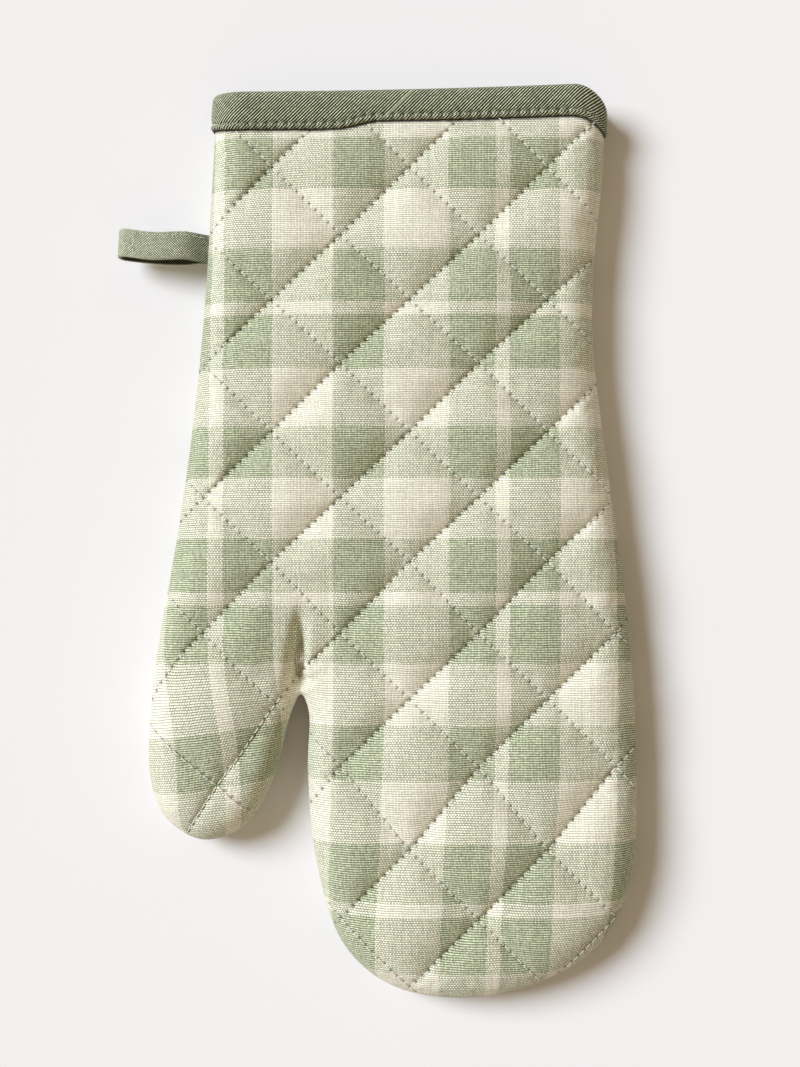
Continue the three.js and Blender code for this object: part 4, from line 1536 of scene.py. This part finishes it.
# %% Lines for the trees to work on
def path_mesh(name, points, edges, **vectors):
    """Points and edges in the frame, with a vector stored on each point."""
    mesh = bpy.data.meshes.new(name)
    mesh.from_pydata(points.tolist(), edges, [])
    for key, values in vectors.items():
        stored = mesh.attributes.new(key, "FLOAT_VECTOR", "POINT")
        stored.data.foreach_set("vector", np.asarray(values, float).ravel())
    return mesh


print("seam and cuff together are", round(seam_length + cuff_length), "mm of sewing")

# %% [markdown]
# ## The hanging loop
#
# A flat strip leaves the seam, runs out, turns back and returns under itself. The path is a
# line of points with a direction across the strip stored on each, and Curve to Mesh sweeps a
# flat rounded profile along it. The lengths along the path and round the profile are stored
# as the strip's cloth coordinates, so that the weave follows it round the turn.

# %% Tree for a flat strip along a path
CORNER_POINTS, PROFILE_POINTS = 3, 44


def strip_tree():
    """A flat rounded profile swept along a path, with the lengths along and round it."""
    tree = Tree("strip along a path")
    tree.inputs(Width="Float", Thickness="Float", Corner="Float", Cloth="Material")
    path = tree.add("GeometryNodeMeshToCurve", Mesh=tree.value("Geometry"))
    turned = tree.add(
        "GeometryNodeSetCurveNormal", {"mode": "FREE"}, Curve=path, Normal=tree.attribute("across")
    )
    box = tree.add(
        "GeometryNodeCurvePrimitiveQuadrilateral",
        Width=tree.value("Width"), Height=tree.value("Thickness"),
    )
    rounded = tree.add(
        "GeometryNodeFilletCurve", {"mode": "POLY"},
        Curve=box, Radius=tree.value("Corner"), Count=CORNER_POINTS,
    )
    profile = tree.add("GeometryNodeResampleCurve", Curve=rounded, Count=PROFILE_POINTS)
    run = tree.add("GeometryNodeSplineParameter", output=1)
    turned = tree.store(turned, "run", run, "FLOAT", "POINT")
    profile = tree.store(profile, "round", run, "FLOAT", "POINT")
    swept = tree.add(
        "GeometryNodeCurveToMesh", Curve=turned, Profile_Curve=profile, Fill_Caps=True
    )
    place = tree.add(
        "ShaderNodeCombineXYZ", X=tree.attribute("run", "FLOAT"), Y=tree.attribute("round", "FLOAT")
    )
    swept = tree.store(swept, "cloth", place, "FLOAT2", "CORNER")
    tree.finish(swept, tree.value("Cloth"))
    return tree


STRIP = strip_tree()
print("inputs of the strip tree:", list(STRIP.ids))

# %% Path of the loop
LOOP_WALL = 1.3
LOOP_REACH, LOOP_INSIDE, LOOP_SPREAD = 32.5, 4.2, 10.0
LOOP_ARCH = 2.6  # the upper layer stands this much higher half way along
LOOP_TUCK = 3.0
UNDER_SLIP = 0.9  # the under layer slips towards the fingers
LOOP_WAVE, LOOP_WAVE_LENGTH = 0.5, 26.0


def loop_path():
    """Points (out from the seam, along the seam, height) down the middle of the strip."""
    closed, opened = (FIT_GAP + LOOP_WALL) / 2, (LOOP_INSIDE + LOOP_WALL) / 2
    turn_start = LOOP_REACH - LOOP_WALL / 2 - opened
    upper = [(-LOOP_TUCK, closed)]
    for share in np.linspace(0, 1, 16):
        upper.append((LOOP_SPREAD * share, mix(closed, opened, float(smooth(share)))))
    for share in np.linspace(0, 1, 12)[1:-1]:
        upper.append((mix(LOOP_SPREAD, turn_start, share), opened))
    for turn in np.linspace(0, math.pi / 2, 12):
        upper.append((turn_start + opened * math.sin(turn), opened * math.cos(turn)))
    out, height = np.array(upper + [(out, -height) for out, height in upper[-2::-1]]).T
    lower = smooth((1 - height / opened) / 2)
    arch = np.sin(np.pi * np.clip(out / LOOP_REACH, 0, 1))
    wave = LOOP_WAVE * np.sin(2 * np.pi * out / LOOP_WAVE_LENGTH) * (1 - lower)
    aside = wave - UNDER_SLIP * lower * arch
    return np.column_stack([out, aside, height + LOOP_ARCH * arch * (1 - lower)])


print("points down the middle of the loop:", len(loop_path()))

# %% Make the loop
LOOP_WIDTH, LOOP_CORNER = 10.1, 0.4
LOOP_Y, LOOP_TURN = 105.0, 0.056  # where it leaves the seam, and how far it points up


def loop_place(out, aside, slip):
    """Where a point lies that is out from the seam, aside of the strip's middle and slipped."""
    x = side_x(True, LOOP_Y) - out * math.cos(LOOP_TURN) + aside * math.sin(LOOP_TURN)
    y = LOOP_Y + out * math.sin(LOOP_TURN) + aside * math.cos(LOOP_TURN) + slip
    return x, y


def loop_mesh():
    """The strip's path in the frame, with the direction across the strip on each point."""
    out, slip, height = loop_path().T
    x, y = loop_place(out, 0, slip)
    points = in_frame(np.column_stack([x, y, SEAM_HEIGHT + height]))
    edges = [(i, i + 1) for i in range(len(points) - 1)]
    across = [(math.sin(LOOP_TURN), math.cos(LOOP_TURN), 0)] * len(points)
    return path_mesh("path", points, edges, across=across)


loop = STRIP.made_plain(
    "loop_strip", loop_mesh(), Width=LOOP_WIDTH * MM, Thickness=LOOP_WALL * MM,
    Corner=LOOP_CORNER * MM, Cloth=LOOP_CLOTH,
)
print("loop's size in mm:", [round(value / MM, 1) for value in loop.dimensions])

# %% [markdown]
# ## Stitches
#
# A row of stitches is one thread that comes up through a needle hole, lies on the cloth for
# a stitch's length and dives into the next hole. So each stitch is one edge of a mesh, from
# hole to hole, and a tree puts a small arched tube on every edge: turned along it, with its
# back away from the cloth. A stitch is seen only as a pale dash, so six sides are enough.

# %% One stitch as a small tube
TUBE_STEPS = 6  # sides of the tube, and steps along it
ARCH_HANDLE = 0.32  # of a stitch, from its middle to the handles of the arch


def stitch_tube(tree):
    """A small arched tube of unit length, which carries how far along and round it a point is."""
    handles = []
    for x in (-ARCH_HANDLE, ARCH_HANDLE):
        handles.append(tree.add("ShaderNodeCombineXYZ", X=x, Z=tree.value("Rise")))
    arch = tree.add(
        "GeometryNodeCurvePrimitiveBezierSegment", Resolution=TUBE_STEPS, Start=(-0.5, 0, 0),
        Start_Handle=handles[0], End_Handle=handles[1], End=(0.5, 0, 0),
    )
    circle = tree.add(
        "GeometryNodeCurvePrimitiveCircle", Resolution=TUBE_STEPS, Radius=tree.value("Radius")
    )
    share = tree.add("GeometryNodeSplineParameter")
    arch = tree.store(arch, "lengthways", share, "FLOAT", "POINT")
    circle = tree.store(circle, "around", share, "FLOAT", "POINT")
    tube = tree.add("GeometryNodeCurveToMesh", Curve=arch, Profile_Curve=circle, Fill_Caps=True)
    twist = tree.add(
        "ShaderNodeCombineXYZ", X=tree.attribute("lengthways", "FLOAT"),
        Y=tree.attribute("around", "FLOAT"),
    )
    return tree.store(tube, "twist", twist, "FLOAT_VECTOR", "POINT")


print("sides of a stitch's tube:", TUBE_STEPS)

# %% Tree for stitches on the edges of a mesh
SHORTEST_STITCH = 0.9  # of the full length, picked at random


def stitch_tree():
    """A stitch on every edge, turned along it and with its back away from the cloth."""
    tree = Tree("stitches on edges")
    tree.inputs(Radius="Float", Rise="Float", Share="Float", Seed="Int", Thread="Material")
    end = tree.add("GeometryNodeInputMeshEdgeVertices", output="Position 2")
    start = tree.add("GeometryNodeInputMeshEdgeVertices", output="Position 1")
    along = tree.maths("ShaderNodeVectorMath", "SUBTRACT", end, start)
    kept = tree.store(tree.value("Geometry"), "along", along, "FLOAT_VECTOR", "EDGE")
    kept = tree.store(kept, "away", tree.attribute("up"), "FLOAT_VECTOR", "EDGE")
    points = tree.add("GeometryNodeMeshToPoints", {"mode": "EDGES"}, Mesh=kept)
    level = tree.add(
        "FunctionNodeAlignRotationToVector", {"axis": "X"}, Vector=tree.attribute("along")
    )
    turned = tree.add(
        "FunctionNodeAlignRotationToVector", {"axis": "Z", "pivot_axis": "X"},
        Rotation=level, Vector=tree.attribute("away"),
    )
    length = tree.add(
        "ShaderNodeVectorMath", {"operation": "LENGTH"}, output=1, Vector=tree.attribute("along")
    )
    uneven_share = tree.add(
        "FunctionNodeRandomValue", {"data_type": "FLOAT"}, output=1,
        numbered={2: SHORTEST_STITCH, 3: 1.0}, Seed=tree.value("Seed"),
    )
    shown = tree.maths("ShaderNodeMath", "MULTIPLY", length, tree.value("Share"))
    shown = tree.maths("ShaderNodeMath", "MULTIPLY", shown, uneven_share)
    size = tree.add("ShaderNodeCombineXYZ", X=shown, Y=1.0, Z=1.0)
    placed = tree.add(
        "GeometryNodeInstanceOnPoints", Points=points, Instance=stitch_tube(tree),
        Rotation=turned, Scale=size,
    )
    tree.finish(placed, tree.value("Thread"))
    return tree


STITCHES = stitch_tree()
print("inputs of the stitch tree:", list(STITCHES.ids))

# %% Needle holes along every line
STITCH_CLEAR = 1.2  # of the seam
BINDING_CLEAR = 0.3
BUNCH_CLEAR = 6.0  # no stitch shows in the bunched cloth
LINE_SPAN = 8
THREAD_LIFT = (0.16, 0.34)  # over the cloth, on the rising and on the falling lines


def shows(points):
    """True for holes inside the seam, below the binding and clear of the bunched cloth."""
    shown = inside(fine_seam, points)
    reach = np.zeros(len(points))
    reach[shown] = nearest_on_seam(points[shown])[1]
    x, y = points.T
    hidden = below_cuff(x, y, 1) < binding_depth(x) + BINDING_CLEAR
    hidden |= np.hypot(*(points - BUNCH_AT).T) < BUNCH_CLEAR
    return shown & (reach > STITCH_CLEAR) & ~hidden


def hole_pairs():
    """Every two neighbouring holes that both show, and the lift of the thread between them."""
    holes = np.arange(-LINE_SPAN * STITCHES_PER_SIDE, LINE_SPAN * STITCHES_PER_SIDE + 1)
    holes = holes / STITCHES_PER_SIDE
    starts, ends, lifts = [], [], []
    for line in range(-LINE_SPAN, LINE_SPAN + 1):
        same = np.full(len(holes), float(line))
        rows = quilt_point(same, holes), quilt_point(holes, same)
        for row, lift in zip(rows, THREAD_LIFT):
            starts.append(row[:-1])
            ends.append(row[1:])
            lifts += [lift] * (len(row) - 1)
    pairs = np.stack([np.vstack(starts), np.vstack(ends)], axis=1)
    kept = shows(pairs.reshape(-1, 2)).reshape(-1, 2).all(axis=1)
    return pairs[kept], np.array(lifts)[kept]


HOLE_PAIRS = hole_pairs()
print("stitches that could show on each side:", len(HOLE_PAIRS[0]))

# %% Stitch the quilting
THREAD_RADIUS, STITCH_RISE, STITCH_SHARE = 0.18, 0.35, 0.74
LOWEST_THREAD = 0.95  # its stitches stay clear of the table
RAY_START = 50  # over the seam, well outside the mitt


def quilt_stitches(side, panel):
    """Edges from hole to hole along every line, laid on the panel's surface."""
    surface = BVHTree.FromObject(panel, bpy.context.evaluated_depsgraph_get())
    down = Vector((0, 0, -SIDE[side]))
    longest = 2 * SIDE_LENGTH / STITCHES_PER_SIDE * MM
    start_z = [SEAM_HEIGHT + SIDE[side] * RAY_START] * 2
    points, up, edges = [], [], []
    for pair, lift in zip(*HOLE_PAIRS):
        from_above = in_frame(np.column_stack([pair, start_z]))
        hits = [surface.ray_cast(Vector(place), down) for place in from_above]
        if hits[0][0] is None or hits[1][0] is None:
            continue
        if (hits[0][0] - hits[1][0]).length > longest:
            continue
        edges.append((len(points), len(points) + 1))
        for place, normal, _, _ in hits:
            place += normal * float(lift) * MM
            points.append((place.x, place.y, max(place.z, LOWEST_THREAD * MM)))
        up += [hit[1] for hit in hits]
    print(side, "has", len(edges), "stitches")
    return path_mesh("stitch lines", np.array(points), edges, up=up)


quilt_threads = {}
for side, panel in (("front", front), ("back", back)):
    quilt_threads[side] = STITCHES.made_plain(
        side + "_stitches", quilt_stitches(side, panel), Radius=THREAD_RADIUS * MM,
        Rise=STITCH_RISE * MM, Share=STITCH_SHARE, Seed=7, Thread=THREAD,
    )

# %% Stitch the binding's edge
EDGE_THREAD_RADIUS, EDGE_STITCH_RISE, EDGE_SHARE = 0.5, 0.35, 0.74
EDGE_OUT, EDGE_FAR = 1.4 - STITCH_DENT * 0.8, 5.0  # in the dent, and a point outside it


def edge_stitch_line():
    """Edges from hole to hole round the cuff, on the binding's outside."""
    line, away = [], []
    for station in stations:
        below = binding_depth_at(station) - STITCH_UP
        near = np.array(cuff_point(*station, EDGE_OUT, below))
        far = np.array(cuff_point(*station, EDGE_FAR, below))
        line.append(near)
        away.append(far - near)
    line, away = (np.array(rows + rows[:1]) for rows in (line, away))
    marks = np.arange(edge_stitches) / edge_stitches * cuff_length
    pick = [[np.interp(marks, cuff_run, rows[:, axis]) for axis in range(3)]
            for rows in (line, away)]
    points, up = (np.array(rows).T for rows in pick)
    edges = [(i, (i + 1) % edge_stitches) for i in range(edge_stitches)]
    return path_mesh("edge stitches", in_frame(points), edges, up=up)


edge_thread = STITCHES.made_plain(
    "cuff_edge_stitches", edge_stitch_line(), Radius=EDGE_THREAD_RADIUS * MM,
    Rise=EDGE_STITCH_RISE * MM, Share=EDGE_SHARE, Seed=11, Thread=BINDING_THREAD,
)

# %% Stitch the loop's edge
LOOP_STITCH, LOOP_STITCH_IN = 2.4, 1.3  # length of one stitch, and how far in from the edge
LOOP_FOLD_STITCH = 26.5  # a second row crosses the strip here, out from the seam


def loop_stitch_lines():
    """A row of stitches along the loop's upper edge and one across it near the fold."""
    out, slip, height = loop_path()[: len(loop_path()) // 2].T
    half = LOOP_WIDTH / 2 - LOOP_STITCH_IN
    marks = np.arange(1.0, LOOP_REACH - 2, LOOP_STITCH)
    rows = [np.column_stack([marks, np.full(len(marks), half)])]
    across = np.arange(-half, half, LOOP_STITCH)
    rows.append(np.column_stack([np.full(len(across), LOOP_FOLD_STITCH), across]))
    points, edges = [], []
    for row in rows:
        edges += [(len(points) + i, len(points) + i + 1) for i in range(len(row) - 1)]
        for reach, aside in row:
            x, y = loop_place(reach, aside, np.interp(reach, out, slip))
            z = SEAM_HEIGHT + np.interp(reach, out, height) + LOOP_WALL / 2
            points.append((x, y, z))
    up = [(0, 0, 1)] * len(points)
    return path_mesh("loop stitches", in_frame(points), edges, up=up)


loop_thread = STITCHES.made_plain(
    "loop_stitches", loop_stitch_lines(), Radius=THREAD_RADIUS * MM, Rise=STITCH_RISE * MM,
    Share=EDGE_SHARE, Seed=5, Thread=BINDING_THREAD,
)

# %% [markdown]
# ## Handing the pieces on
#
# Each piece is attached to the body it rides on, and the CAD part that it stands in for is
# hidden. For the strips, the area of the mesh is set against the size they had when they were
# cut flat. The threads ride on the same body as the cloth that they hold.

BINDING_FLAT = (0.030, 0.320)  # both sides, the fold and two turned edges; all round the cuff
LOOP_FLAT = (0.0101, 0.072)  # the sewn strip, out and back

for quilt, node in ((front, "front_panel"), (back, "back_panel")):
    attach(quilt, "root")
    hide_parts(node)
for strip, node, flat in (
    (binding, "cuff_binding", BINDING_FLAT), (loop, "hanging_loop", LOOP_FLAT)
):
    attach(strip, "root")
    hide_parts(node)
    area = sum(polygon.area for polygon in strip.data.polygons) / 2
    print(strip.name, "measures", round(area / (flat[0] * flat[1]), 2), "of its flat area")
for thread in quilt_threads.values():
    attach(thread, "root")
for thread in (edge_thread, loop_thread):
    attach(thread, "root")
